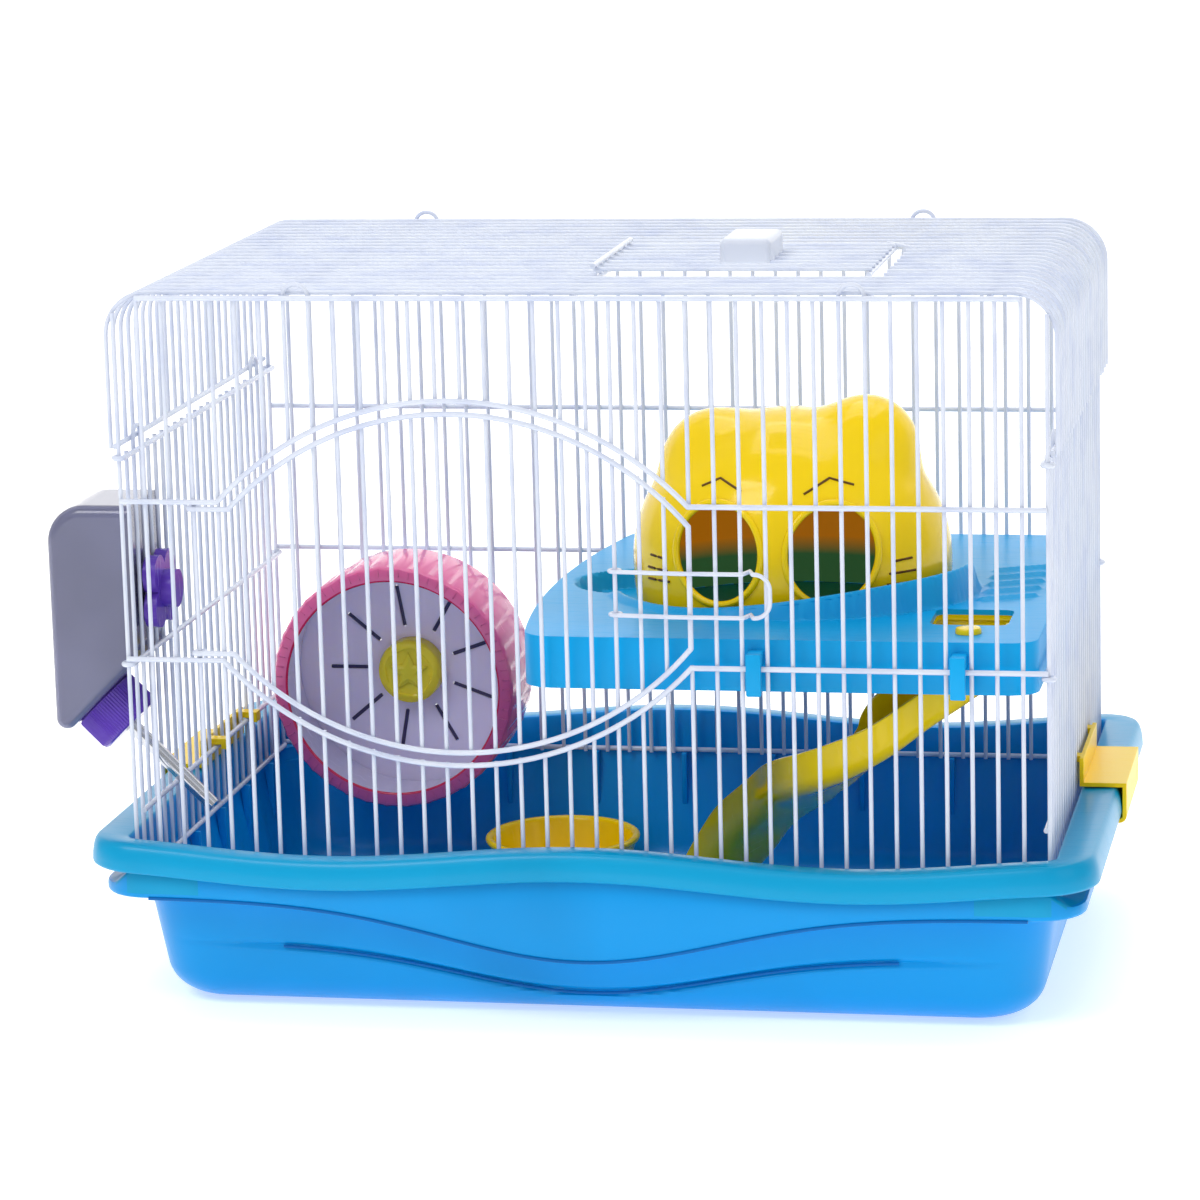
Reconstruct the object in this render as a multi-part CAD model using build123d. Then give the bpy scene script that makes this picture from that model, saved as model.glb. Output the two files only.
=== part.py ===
from build123d import *
import math
import os

# Hamster cage: a moulded tray, a wire top of six welded panels, and the furniture inside.
# Millimetres. X runs to the right, Y to the back, Z up. The origin is the middle of the
# tray's underside, where the cage stands.

# ---------------------------------------------------------------- wire cage
BAR_PITCH = 11.5
BARS_ACROSS = 38
BARS_DEEP = 24
BAR_D = 2.0
RAIL_D = 2.5
WELD_SINK = 0.1
WELD_END = 0.8
EYE_CLEARANCE = 0.35
COLLAR_DROP = 0.2

BOTTOM_RAIL_Z = 64.0
LOW_RAIL_RISE = 30.0
MIDDLE_RAIL_RISE = 104.0
UPPER_RAIL_RISE = 178.0
SIDE_TOP_RISE = 198.0
RETURN_RAIL_RISE = 203.0
ROOF_RISE = 274.0

ROOF_WIRES = 23
ROOF_BEND = 20.0
ROOF_OVERHANG = 4.25
ROOF_SEAT_GAP = 0.35
CORNER_BAR_DROP = 7.5
TOP_RAIL_DROP = 2.0
HOOK_RISE = 4.0
FRONT_HOOKS = (7, 29)
SIDE_HOOKS = (2, 20)
CROSS_WIRE_OUTER = 187.0
CROSS_WIRE_INNER = 134.0

# ---------------------------------------------------------------- front door
DOOR_HINGE_BAR = 3
DOOR_END_BAR = 23
DOOR_RISE = 47.5
DOOR_INSET = 6.0
DOOR_HINGE_INSET = 3.2
LATCH_BAR = 20
LATCH_CATCH_BAR = 25
LATCH_D = 2.0
LATCH_Z = 202.0
LATCH_HEIGHT = 20.0
LATCH_STAND = 4.85
LATCH_CATCH_OFFSET = 1.45
LATCH_BUMP = 7.2
LATCH_BUMP_HALF = 2.4
LATCH_CORNER = 7.6

# ---------------------------------------------------------------- roof hatch
HATCH_FIRST_WIRE = 5
HATCH_LAST_WIRE = 12
HATCH_LOOP = 42.0
HATCH_GAP = 0.35
HATCH_CORNER = 5.0
HATCH_EYE_RUN = 10.0
HATCH_END_RAIL = 7.0
GRIP_X = 66.0
GRIP_LENGTH = 40.0
GRIP_WIDTH = 24.0
GRIP_HEIGHT = 12.0
GRIP_ROUND = 3.0
GRIP_SKIN = 2.0

# ---------------------------------------------------------------- tray
WALL = 2.5
FOOT_H = 2.0
FLOOR_INSET_X = 7.75
FLOOR_INSET_Y = 5.25
TRAY_CORNER = 28.0
TRAY_FOOT_ROUND = 14.0
SEAT_CLEARANCE = 0.75
SEAT_CORNER = 3.5
LIP_MARGIN_X = 22.25
LIP_MARGIN_Y = 19.75
LIP_CORNER = 24.0
LIP_CREST = 84.5
LIP_DIP = 7.0
LIP_HEIGHT = 13.5
LIP_WAVE_SPARE = 8.0
APRON_STEP_X = 6.0
APRON_STEP_Y = 4.5
APRON_CORNER = 22.0
APRON_DROP = (57.0, 53.0, 43.0, 32.0)
RIB_PITCH = 46.0
RIB_W = 2.5
RIB_REACH = 2.0
FOOT_X = 165.0
FOOT_Y = 96.0
FOOT_LENGTH = 50.0
FOOT_WIDTH = 14.0
PAD_LENGTH = 120.0
PAD_WIDTH = 60.0

# ---------------------------------------------------------------- tray clips
CLIP_Y = 28.75
CLIP_FINGER_GAPS = 5
CLIP_LENGTH = 74.0
CLIP_SKIN = 2.0
CLIP_CLEARANCE = 0.35
CLIP_FINGER_W = 7.0
CLIP_FINGER_H = 3.0
CLIP_TIP_DROP = 2.2
CLIP_TIP = 2.6
CLIP_TIP_SPARE = 1.45
CLIP_HOOK_ANGLE = 140.0

# ---------------------------------------------------------------- running wheel
WHEEL_BAR = 6
WHEEL_Z = 108.5
WHEEL_R = 62.5
WHEEL_SKIN = 2.0
WHEEL_DEPTH = 50.0
WHEEL_FRONT_Y = 70.0
WHEEL_MOUTH_R = 55.5
WHEEL_RUNGS = 36
RUNG_H = 1.2
RUNG_W = 1.6
WHEEL_DISC_T = 2.0
WHEEL_SLOTS = 9
SLOT_INNER = 22.0
SLOT_OUTER = 44.0
SLOT_W = 2.0
HUB_R = 16.5
HUB_H = 13.0
HUB_SKIN = 2.0
BOSS_R = 7.0
AXLE_R = 3.0
AXLE_CLEARANCE = 0.35
AXLE_HEAD_R = 5.0
AXLE_HEAD_H = 2.0
BACKPLATE_R = 17.0
BACKPLATE_T = 4.5
WHEEL_NUT_R = 11.0
WHEEL_NUT_T = 5.0

# ---------------------------------------------------------------- platform
DECK_TOP = 180.0
DECK_T = 2.5
SKIRT_BOTTOM = 156.0
PLATFORM_SIDE_GAP = 5.75
PLATFORM_LEFT = (-27.0, -36.0, -20.0)
PLATFORM_CORNER = 12.0
BASIN_DEPTH = 9.0
BASIN_MARGIN = 5.0
POOL_X = 2.0
POOL_Y = 0.0
POOL_R = 27.0
RAMP_RIBS = 5
RAMP_RIB_PITCH = 17.0
RAMP_RIB = (30.0, 2.0, 1.6)
RAMP_RIB_TURN = 25.0
RAMP_X = 184.0
RAMP_Y = -28.0
HOOK_GAPS = (25, 33)
HOOK_W = 7.0
HOOK_T = 2.5
HOOK_BRIDGE = 6.0
HOOK_CLEARANCE = 0.35

# ---------------------------------------------------------------- house
HOUSE_X = 80.0
HOUSE_Y = -12.0
HOUSE_WIDTH = 152.0
HOUSE_DEPTH = 124.0
HOUSE_SKIN = 2.2
HOUSE_LEVELS = ((0.0, 0.97), (24.0, 1.0), (50.0, 0.93), (72.0, 0.74), (86.0, 0.5), (93.0, 0.22))
EAR_X = 36.0
EAR_HEIGHTS = (70.0, 77.0)
EAR_R = 25.0
EYE_X = 26.5
EYE_Z = 36.0
EYE_WIDTH = 40.0
EYE_HEIGHT = 45.0
EYE_RIM = 2.2
EYE_RIM_STAND = 1.6
HOUSE_SEAT_GAP = 0.3

# ---------------------------------------------------------------- slide
CHUTE_WIDTH = 38.0
CHUTE_DEPTH = 19.0
CHUTE_WALL = 2.0
CHUTE_ROUTE = (
    (172.0, -60.0, 168.0),
    (168.0, -78.0, 148.0),
    (147.0, -90.0, 131.0),
    (129.0, -93.0, 115.0),
    (110.0, -85.0, 102.0),
    (95.0, -66.0, 91.0),
    (82.0, -38.0, 77.0),
    (64.0, -14.0, 59.0),
    (50.0, 4.0, 38.0),
    (37.0, 14.0, 18.0),
    (22.0, 20.0, 7.5),
    (8.0, 24.0, 5.2),
)
HOLE_X = 172.0
HOLE_Y = -72.0
HOLE_WIDTH = 36.0
HOLE_DEPTH = 34.0
FLANGE_EDGE = 4.0
FLANGE_T = 2.5
FLANGE_LIP = 4.0
PEG_X = 174.0
PEG_Y = -106.0
PEG_R = 3.7
PEG_HEAD_R = 6.0
PEG_HEAD_H = 3.0
PEG_CLEARANCE = 0.3

# ---------------------------------------------------------------- bowl
BOWL_X = -53.0
BOWL_Y = 74.0
BOWL_TOP_R = 37.5
BOWL_BASE_R = 32.0
BOWL_H = 29.0
BOWL_SKIN = 2.2
BOWL_LIP = 1.6
BOWL_LIP_H = 3.0
BOWL_SEAT_GAP = 0.3

# ---------------------------------------------------------------- water bottle
BOTTLE_GAP_BAR = 3
BOTTLE_STAND = 0.85
BOTTLE_THICK = 40.7
BOTTLE_WIDTH = 50.0
BOTTLE_TOP = 236.0
BOTTLE_CROWN_R = 18.0
BOTTLE_BASE = 129.0
BOTTLE_SKIN = 1.6
BOTTLE_CORNER = 5.0
NECK_SET = 14.5
CAP_R = 16.8
CAP_H = 18.0
CAP_SKIN = 2.0
NECK_R = 13.5
NECK_H = 11.0
SEAL_T = 2.0
TUBE_R = 3.5
TUBE_SKIN = 0.5
TUBE_REACH = 54.0
TUBE_CRIMP = 0.8
TUBE_MOUTH_R = 2.2
BALL_R = 2.6
BOLT_Z = 193.0
BOLT_R = 3.0
BOLT_HEAD_R = 9.0
BOLT_HEAD_H = 2.5
BOLT_LIP = 1.0
BOLT_MOUTH_R = 5.0
NUT_LOBES = 4
NUT_LOBE_R = 9.0
NUT_LOBE_REACH = 11.5
NUT_T = 6.0
NUT_KNOB_R = 9.0
NUT_KNOB_H = 6.0
NUT_CAP = 2.0
NUT_GAP = 0.35
THREAD_CLEARANCE = 0.35

# ---------------------------------------------------------------- worked out from the above
HALF_W = BAR_PITCH * (BARS_ACROSS - 1) / 2
HALF_D = BAR_PITCH * (BARS_DEEP - 1) / 2
WELD_OFFSET = (BAR_D + RAIL_D) / 2 - WELD_SINK
RAIL_Y = HALF_D + WELD_OFFSET
RAIL_X = HALF_W - WELD_OFFSET
SEAT_Z = BOTTOM_RAIL_Z - RAIL_D / 2
LOW_RAIL_Z = BOTTOM_RAIL_Z + LOW_RAIL_RISE
MIDDLE_RAIL_Z = BOTTOM_RAIL_Z + MIDDLE_RAIL_RISE
UPPER_RAIL_Z = BOTTOM_RAIL_Z + UPPER_RAIL_RISE
SIDE_TOP_Z = BOTTOM_RAIL_Z + SIDE_TOP_RISE
RETURN_Z = BOTTOM_RAIL_Z + RETURN_RAIL_RISE
ROOF_Z = BOTTOM_RAIL_Z + ROOF_RISE
TOP_RAIL_Z = ROOF_Z - TOP_RAIL_DROP
CROSS_Z = ROOF_Z - WELD_OFFSET
ROOF_LEG_X = HALF_W + ROOF_OVERHANG
ROOF_HALF_D = HALF_D - BAR_D - ROOF_SEAT_GAP
ROOF_PITCH = 2 * ROOF_HALF_D / (ROOF_WIRES - 1)
EYE_R = BAR_D / 2 + EYE_CLEARANCE + RAIL_D / 2
COLLAR_R = WELD_OFFSET
SIDE_MIDDLE_Z = MIDDLE_RAIL_Z - RAIL_D - COLLAR_DROP
FLOOR_Z = FOOT_H + WALL
FLOOR_WIDTH = 2 * (HALF_W - FLOOR_INSET_X)
FLOOR_DEPTH = 2 * (HALF_D - FLOOR_INSET_Y)
LIP_WIDTH = 2 * (HALF_W + LIP_MARGIN_X)
LIP_DEPTH = 2 * (HALF_D + LIP_MARGIN_Y)
LIP_WAVE = LIP_WIDTH / 2 + LIP_WAVE_SPARE
APRON_WIDTH = LIP_WIDTH - 2 * APRON_STEP_X
APRON_DEPTH = LIP_DEPTH - 2 * APRON_STEP_Y
APRON_STATIONS = (LIP_WAVE, 130.0, 68.0, 0.0)
PLATFORM_RIGHT = HALF_W - PLATFORM_SIDE_GAP


def bar_x(index):
    """Place of a front or back bar, counted from the left."""
    return BAR_PITCH * index - HALF_W


def bar_y(index):
    """Place of a side bar, counted from the front."""
    return BAR_PITCH * index - HALF_D


def roof_y(index):
    """Place of a roof wire, counted from the front."""
    return ROOF_PITCH * index - ROOF_HALF_D


def rod(start, end, diameter):
    """A straight wire."""
    start, end = Vector(*start), Vector(*end)
    plane = Plane(origin=start, z_dir=end - start)
    return Solid.make_cylinder(diameter / 2, (end - start).length, plane)


def ball(centre, diameter):
    """The round of a bent wire's corner."""
    return Pos(*centre) * Sphere(diameter / 2)


def swept(path, diameter):
    """A wire along a smooth path."""
    return sweep(Plane(origin=path @ 0, z_dir=path % 0) * Circle(diameter / 2), path)


def bent(points, bend, diameter):
    """A wire through points, with every corner bent to one radius."""
    return swept(FilletPolyline(*points, radius=bend), diameter)


def ring(centre, axis, radius, diameter):
    """A closed wire eye."""
    return Solid.make_torus(radius, diameter / 2, Plane(origin=centre, z_dir=axis))


def drum(centre, axis, radius, height):
    """A cylinder that starts at its centre point and runs along its axis."""
    return Solid.make_cylinder(radius, height, Plane(origin=centre, z_dir=axis))


def block(low, high):
    """A box between two corners."""
    size = [b - a for a, b in zip(low, high)]
    middle = [(a + b) / 2 for a, b in zip(low, high)]
    return Pos(*middle) * Box(*size)


def slab(width, depth, corner, low, high):
    """A plate with rounded corners, centred on the cage."""
    return Pos(0, 0, low) * extrude(RectangleRounded(width, depth, corner), high - low)


def save(name, *solids):
    """Write one named sub-part, each of its solids kept apart."""
    shape = solids[0] if len(solids) == 1 else Compound(children=[Part(s.wrapped) for s in solids])
    export_step(shape, f"parts/{name}.step")


# ================================================================ tray
def wave_band(stations, low):
    """All that lies under a wave and above a level, right across the tray."""
    crest = Spline(*stations, tangents=((1, 0), (1, 0)))
    first, last = stations[0], stations[-1]
    floor = Polyline(last, (last[0], low), (first[0], low), first)
    return extrude(Plane.XZ * make_face([crest, floor]), LIP_DEPTH, both=True)


def lip_wave(drop):
    """The rim's wave: a crest in the middle and at the corners, a dip between."""
    stations = []
    for step in range(-2, 3):
        dip = LIP_DIP if step % 2 else 0.0
        stations.append((LIP_WAVE / 2 * step, LIP_CREST - dip - drop))
    return stations


def apron_wave():
    """The lower edge of the apron: a deep belly in the middle of the front and back."""
    half = list(zip(APRON_STATIONS, APRON_DROP))
    return [(-x, z) for x, z in half] + [(x, z) for x, z in half[-2::-1]]


def tray_shape(inset, low):
    """The tapered body, drawn in from its outside by a wall."""
    top_w = 2 * (HALF_W + BAR_D / 2 + SEAT_CLEARANCE + WALL)
    top_d = 2 * (RAIL_Y + RAIL_D / 2 + SEAT_CLEARANCE + WALL)
    corner = TRAY_CORNER - inset
    grow = (low - FOOT_H) / (SEAT_Z - FOOT_H)
    low_w = FLOOR_WIDTH + (top_w - FLOOR_WIDTH) * grow - 2 * inset
    low_d = FLOOR_DEPTH + (top_d - FLOOR_DEPTH) * grow - 2 * inset
    foot = Pos(0, 0, low) * RectangleRounded(low_w, low_d, corner)
    head = Pos(0, 0, SEAT_Z) * RectangleRounded(top_w - 2 * inset, top_d - 2 * inset, corner)
    body = loft([foot, head])
    return fillet(body.faces().sort_by(Axis.Z)[0].edges(), TRAY_FOOT_ROUND - inset)


def tray_ribs():
    """Upright ribs inside the walls, on which the wire top stands."""
    ribs = Part()
    reach_y = RAIL_Y + RAIL_D / 2 + SEAT_CLEARANCE
    reach_x = HALF_W + BAR_D / 2 + SEAT_CLEARANCE
    inner_y = HALF_D - BAR_D / 2 - RIB_REACH
    inner_x = RAIL_X - RAIL_D / 2 - RIB_REACH
    low = FLOOR_Z + TRAY_FOOT_ROUND
    count_x = int((HALF_W - TRAY_CORNER) / RIB_PITCH)
    for step in range(-count_x, count_x + 1):
        x = RIB_PITCH * step
        for side in (-1, 1):
            ys = sorted((side * inner_y, side * (reach_y + WALL / 2)))
            ribs += block((x - RIB_W / 2, ys[0], low), (x + RIB_W / 2, ys[1], SEAT_Z))
    count_y = int((HALF_D - TRAY_CORNER) / RIB_PITCH)
    for step in range(-count_y, count_y + 1):
        y = RIB_PITCH * step
        for side in (-1, 1):
            xs = sorted((side * inner_x, side * (reach_x + WALL / 2)))
            ribs += block((xs[0], y - RIB_W / 2, low), (xs[1], y + RIB_W / 2, SEAT_Z))
    return ribs


def make_tray():
    seat_w = 2 * (HALF_W + BAR_D / 2 + SEAT_CLEARANCE)
    seat_d = 2 * (RAIL_Y + RAIL_D / 2 + SEAT_CLEARANCE)
    tall = LIP_CREST + LIP_DIP
    under_lip = wave_band(lip_wave(0.0), 0.0)
    over_skirt = slab(LIP_WIDTH, LIP_DEPTH, LIP_CORNER, 0.0, tall) - wave_band(lip_wave(LIP_HEIGHT), -1.0)
    channel = slab(LIP_WIDTH - 2 * WALL, LIP_DEPTH - 2 * WALL, LIP_CORNER - WALL, 0.0, tall)
    lip = over_skirt & under_lip
    lip -= channel & wave_band(lip_wave(WALL), 0.0)
    apron = slab(APRON_WIDTH, APRON_DEPTH, APRON_CORNER, 0.0, SEAT_Z) - wave_band(apron_wave(), -1.0)
    wall_w, wall_d = seat_w + 2 * WALL, seat_d + 2 * WALL
    seat_wall = slab(wall_w, wall_d, SEAT_CORNER + WALL, SEAT_Z - WALL, tall) & under_lip
    tray = tray_shape(0.0, FOOT_H) + apron + seat_wall + lip
    tray -= slab(seat_w, seat_d, SEAT_CORNER, SEAT_Z, tall)
    tray -= tray_shape(WALL, FLOOR_Z)
    tray += tray_ribs() & tray_shape(0.0, FOOT_H)
    for x in (-FOOT_X, FOOT_X):
        for y in (-FOOT_Y, FOOT_Y):
            foot = Box(FOOT_LENGTH, FOOT_WIDTH, FOOT_H + WALL / 2)
            tray += Pos(x, y, (FOOT_H + WALL / 2) / 2) * foot
    tray += Pos(0, 0, (FOOT_H + WALL / 2) / 2) * Box(PAD_LENGTH, PAD_WIDTH, FOOT_H + WALL / 2)
    return tray


# ================================================================ wire cage
def door_arc(x, inset):
    """Height of the door opening's arch above its spring line, at a place along the front."""
    half = (bar_x(DOOR_END_BAR) - bar_x(DOOR_HINGE_BAR + 1)) / 2
    middle = (bar_x(DOOR_END_BAR) + bar_x(DOOR_HINGE_BAR + 1)) / 2
    radius = (half ** 2 + DOOR_RISE ** 2) / (2 * DOOR_RISE)
    return math.sqrt((radius - inset) ** 2 - (x - middle) ** 2) - (radius - DOOR_RISE)


def arch(first_x, last_x, spring, side, inset, y):
    """The arc of a frame wire over (side 1) or under (side -1) the door opening."""
    middle_x = (first_x + last_x) / 2
    points = []
    for x in (first_x, middle_x, last_x):
        points.append((x, y, spring + side * door_arc(x, inset)))
    return ThreePointArc(*points)


def panel_bars(indices, y, low, high):
    """Straight upright bars of the front or back panel."""
    return [rod((bar_x(i), y, low), (bar_x(i), y, high), BAR_D) for i in indices]


def hook_pair(first, second, top, low_first, low_second):
    """Two bars bent into one inverted U that hooks the roof to a panel."""
    path = FilletPolyline(
        (*first, low_first), (*first, top), (*second, top), (*second, low_second),
        radius=BAR_PITCH / 2 - BAR_D / 8)
    return swept(path, BAR_D)


def corner_top(index):
    """The corner bars end lower, under the bend of the roof."""
    return TOP_RAIL_Z + BAR_D / 4 - (CORNER_BAR_DROP if index in (0, BARS_ACROSS - 1) else 0.0)


def hook_bars():
    """Every bar that is one leg of a hook in the front or back panel."""
    return [i for first in FRONT_HOOKS for i in (first, first + 1)]


def make_front_bars():
    bars = []
    opening = range(DOOR_HINGE_BAR + 1, DOOR_END_BAR + 1)
    for i in range(BARS_ACROSS):
        rise = DOOR_RISE if i in opening else 0.0
        if rise:
            above = UPPER_RAIL_Z + door_arc(bar_x(i), 0.0) - WELD_END
            under = MIDDLE_RAIL_Z - door_arc(bar_x(i), 0.0) + WELD_END
            bars += panel_bars([i], -HALF_D, SEAT_Z, under)
            if i not in hook_bars():
                bars += panel_bars([i], -HALF_D, above, corner_top(i))
        elif i not in hook_bars():
            bars += panel_bars([i], -HALF_D, SEAT_Z, corner_top(i))
    return bars


def make_front_hooks():
    hooks = []
    for i in FRONT_HOOKS:
        lows = []
        for bar in (i, i + 1):
            over_door = DOOR_HINGE_BAR < bar <= DOOR_END_BAR
            low = UPPER_RAIL_Z + door_arc(bar_x(bar), 0.0) - WELD_END if over_door else SEAT_Z
            lows.append(low)
        hooks.append(hook_pair(
            (bar_x(i), -HALF_D), (bar_x(i + 1), -HALF_D), ROOF_Z + HOOK_RISE, *lows))
    return hooks


def make_back_bars():
    plain = [i for i in range(BARS_ACROSS) if i not in hook_bars()]
    return [bar for i in plain for bar in panel_bars([i], HALF_D, SEAT_Z, corner_top(i))]


def make_back_hooks():
    return [hook_pair((bar_x(i), HALF_D), (bar_x(i + 1), HALF_D), ROOF_Z + HOOK_RISE, SEAT_Z, SEAT_Z)
            for i in FRONT_HOOKS]


def long_rail(y, z, half):
    return rod((-half, y, z), (half, y, z), RAIL_D)


def make_front_rails():
    return [long_rail(-RAIL_Y, BOTTOM_RAIL_Z, HALF_W), long_rail(-RAIL_Y, TOP_RAIL_Z, bar_x(36))]


def make_back_rails():
    rails = [long_rail(RAIL_Y, z, HALF_W) for z in (BOTTOM_RAIL_Z, MIDDLE_RAIL_Z, UPPER_RAIL_Z)]
    return rails + [long_rail(RAIL_Y, TOP_RAIL_Z, bar_x(36))]


def make_frame_wires():
    """The two front rails that part round the door."""
    first, last = bar_x(DOOR_HINGE_BAR + 1), bar_x(DOOR_END_BAR)
    wires = []
    for z, side in ((UPPER_RAIL_Z, 1), (MIDDLE_RAIL_Z, -1)):
        wire = swept(arch(first, last, z, side, 0.0, -RAIL_Y), RAIL_D)
        for x, end in ((first, -HALF_W), (last, HALF_W)):
            wire += rod((x, -RAIL_Y, z), (end, -RAIL_Y, z), RAIL_D)
            wire += ball((x, -RAIL_Y, z), RAIL_D)
        wires.append(wire)
    return wires


def side_rail(side, z, collared):
    """A side panel's rail; where collared, its ends curl round the corner bars."""
    x = side * RAIL_X
    if not collared:
        reach = HALF_D - BAR_PITCH / 2
        return rod((x, -reach, z), (x, reach, z), RAIL_D)
    round_off = COLLAR_R * math.sqrt(0.5)
    middle = side * (RAIL_X + COLLAR_R)
    curls = []
    for end in (-1, 1):
        y = end * HALF_D
        curls.append(ThreePointArc(
            (x, y, z), (middle + side * round_off, y + end * round_off, z), (middle, y - end * COLLAR_R, z)))
    return swept(Wire([curls[0], Line((x, -HALF_D, z), (x, HALF_D, z)), curls[1]]), RAIL_D)


def make_side_rails(side):
    rails = []
    for z, collared in ((BOTTOM_RAIL_Z, False), (LOW_RAIL_Z, False), (SIDE_MIDDLE_Z, True), (SIDE_TOP_Z, True)):
        rails.append(side_rail(side, z, collared))
    return rails


def make_side_bars(side):
    hooked = [j for first in SIDE_HOOKS for j in (first, first + 1)]
    top = SIDE_TOP_Z + RAIL_D / 2
    bars = []
    for j in range(1, BARS_DEEP - 1):
        if j not in hooked:
            bars.append(rod((side * HALF_W, bar_y(j), SEAT_Z), (side * HALF_W, bar_y(j), top), BAR_D))
    return bars


def make_side_hooks(side):
    top = RETURN_Z + RAIL_D / 2 + HOOK_RISE
    return [hook_pair((side * HALF_W, bar_y(j)), (side * HALF_W, bar_y(j + 1)), top, SEAT_Z, SEAT_Z)
            for j in SIDE_HOOKS]


def make_roof_wires():
    """Whole roof wires, each one bent down at both ends."""
    foot = RETURN_Z - BAR_D / 2
    wires = []
    for k in range(ROOF_WIRES):
        if not HATCH_FIRST_WIRE <= k <= HATCH_LAST_WIRE:
            y = roof_y(k)
            wires.append(bent(
                [(-ROOF_LEG_X, y, foot), (-ROOF_LEG_X, y, ROOF_Z), (ROOF_LEG_X, y, ROOF_Z), (ROOF_LEG_X, y, foot)],
                ROOF_BEND, BAR_D))
    return wires


def make_roof_cut_wires():
    """The roof wires that stop at the hatch opening, left and right of it."""
    foot = RETURN_Z - BAR_D / 2
    wires = []
    for k in range(HATCH_FIRST_WIRE, HATCH_LAST_WIRE + 1):
        y = roof_y(k)
        for side, stop in ((-1, WELD_END), (1, CROSS_WIRE_INNER - WELD_END)):
            leg = side * ROOF_LEG_X
            wires.append(bent([(leg, y, foot), (leg, y, ROOF_Z), (stop, y, ROOF_Z)], ROOF_BEND, BAR_D))
    return wires


def make_roof_rails():
    """Five cross wires under the roof, and the two returns at the feet of the roof wires."""
    half = ROOF_HALF_D + BAR_D / 2
    rails = []
    for x in (-CROSS_WIRE_OUTER, -CROSS_WIRE_INNER, 0.0, CROSS_WIRE_INNER, CROSS_WIRE_OUTER):
        rails.append(rod((x, -half, CROSS_Z), (x, half, CROSS_Z), RAIL_D))
    for side in (-1, 1):
        x = side * (ROOF_LEG_X - WELD_OFFSET)
        rails.append(rod((x, -half, RETURN_Z), (x, half, RETURN_Z), RAIL_D))
    return rails


# ================================================================ front door
def make_door_border():
    """The door's edge wire: two arcs, an upright at the free end and an eye at each hinge end."""
    hinge_x, last = bar_x(DOOR_HINGE_BAR), bar_x(DOOR_END_BAR)
    middle = (bar_x(DOOR_HINGE_BAR + 1) + last) / 2
    half = (last - bar_x(DOOR_HINGE_BAR + 1)) / 2
    radius = (half ** 2 + DOOR_RISE ** 2) / (2 * DOOR_RISE)
    turn = middle - math.sqrt((radius - DOOR_INSET) ** 2 - (radius - DOOR_RISE - DOOR_HINGE_INSET) ** 2)
    border = None
    for z, side in ((UPPER_RAIL_Z, 1), (MIDDLE_RAIL_Z, -1)):
        hinge_z = z - side * DOOR_HINGE_INSET
        wire = swept(arch(turn, last, z, side, DOOR_INSET, -RAIL_Y), RAIL_D)
        wire += ball((turn, -RAIL_Y, hinge_z), RAIL_D)
        wire += rod((turn, -RAIL_Y, hinge_z), (hinge_x + EYE_R * 0.7, -RAIL_Y, hinge_z), RAIL_D)
        wire += ring((hinge_x, -HALF_D, hinge_z), (0, 0, 1), EYE_R, RAIL_D)
        wire += ball((last, -RAIL_Y, z + side * door_arc(last, DOOR_INSET)), RAIL_D)
        border = wire if border is None else border + wire
    end = door_arc(last, DOOR_INSET)
    border += rod((last, -RAIL_Y, MIDDLE_RAIL_Z - end), (last, -RAIL_Y, UPPER_RAIL_Z + end), RAIL_D)
    return border


def make_door_bars():
    bars = []
    for i in range(DOOR_HINGE_BAR + 1, DOOR_END_BAR):
        rise = max(door_arc(bar_x(i), DOOR_INSET), -DOOR_HINGE_INSET) + WELD_END
        bars.append(rod((bar_x(i), -HALF_D, MIDDLE_RAIL_Z - rise), (bar_x(i), -HALF_D, UPPER_RAIL_Z + rise), BAR_D))
    return bars


def make_door_latch():
    """A bent wire that turns on a door bar; its two bumps drop in beside the catch bar."""
    eye_r = BAR_D / 2 + EYE_CLEARANCE + LATCH_D / 2
    pivot = bar_x(LATCH_BAR)
    y_eye = -HALF_D - eye_r
    y_out = -HALF_D - LATCH_STAND
    bump_x = bar_x(LATCH_CATCH_BAR) + LATCH_CATCH_OFFSET
    turn_x = bump_x + 2 * LATCH_BUMP_HALF
    latch = None
    for side in (-1, 1):
        z = LATCH_Z + side * LATCH_HEIGHT / 2
        points = [
            (pivot + eye_r * 0.7, y_eye, z),
            (pivot + 2.5 * BAR_PITCH, y_out, z),
            (bump_x, y_out, z),
            (bump_x + LATCH_BUMP_HALF, y_out + LATCH_BUMP, z),
            (turn_x, y_out, z),
        ]
        arm = ring((pivot, -HALF_D, z), (0, 0, 1), eye_r, LATCH_D)
        for start, end in zip(points, points[1:]):
            arm += rod(start, end, LATCH_D)
            arm += ball(start, LATCH_D)
        latch = arm if latch is None else latch + arm
    high, low = LATCH_Z + LATCH_HEIGHT / 2, LATCH_Z - LATCH_HEIGHT / 2
    loop = FilletPolyline(
        (turn_x, y_out, high), (turn_x + LATCH_CORNER, y_out, high),
        (turn_x + LATCH_CORNER, y_out, low), (turn_x, y_out, low), radius=LATCH_CORNER * 0.95)
    latch += swept(loop, LATCH_D)
    for z in (high, low):
        latch += ball((turn_x, y_out, z), LATCH_D)
    return latch


# ================================================================ roof hatch
HATCH_Z = ROOF_Z + BAR_D / 2 + HATCH_GAP + RAIL_D / 2
HATCH_SIDES = tuple(
    (roof_y(k) + roof_y(k + 1)) / 2 for k in (HATCH_FIRST_WIRE - 1, HATCH_LAST_WIRE))
HATCH_END_X = CROSS_WIRE_INNER - HATCH_END_RAIL


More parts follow.
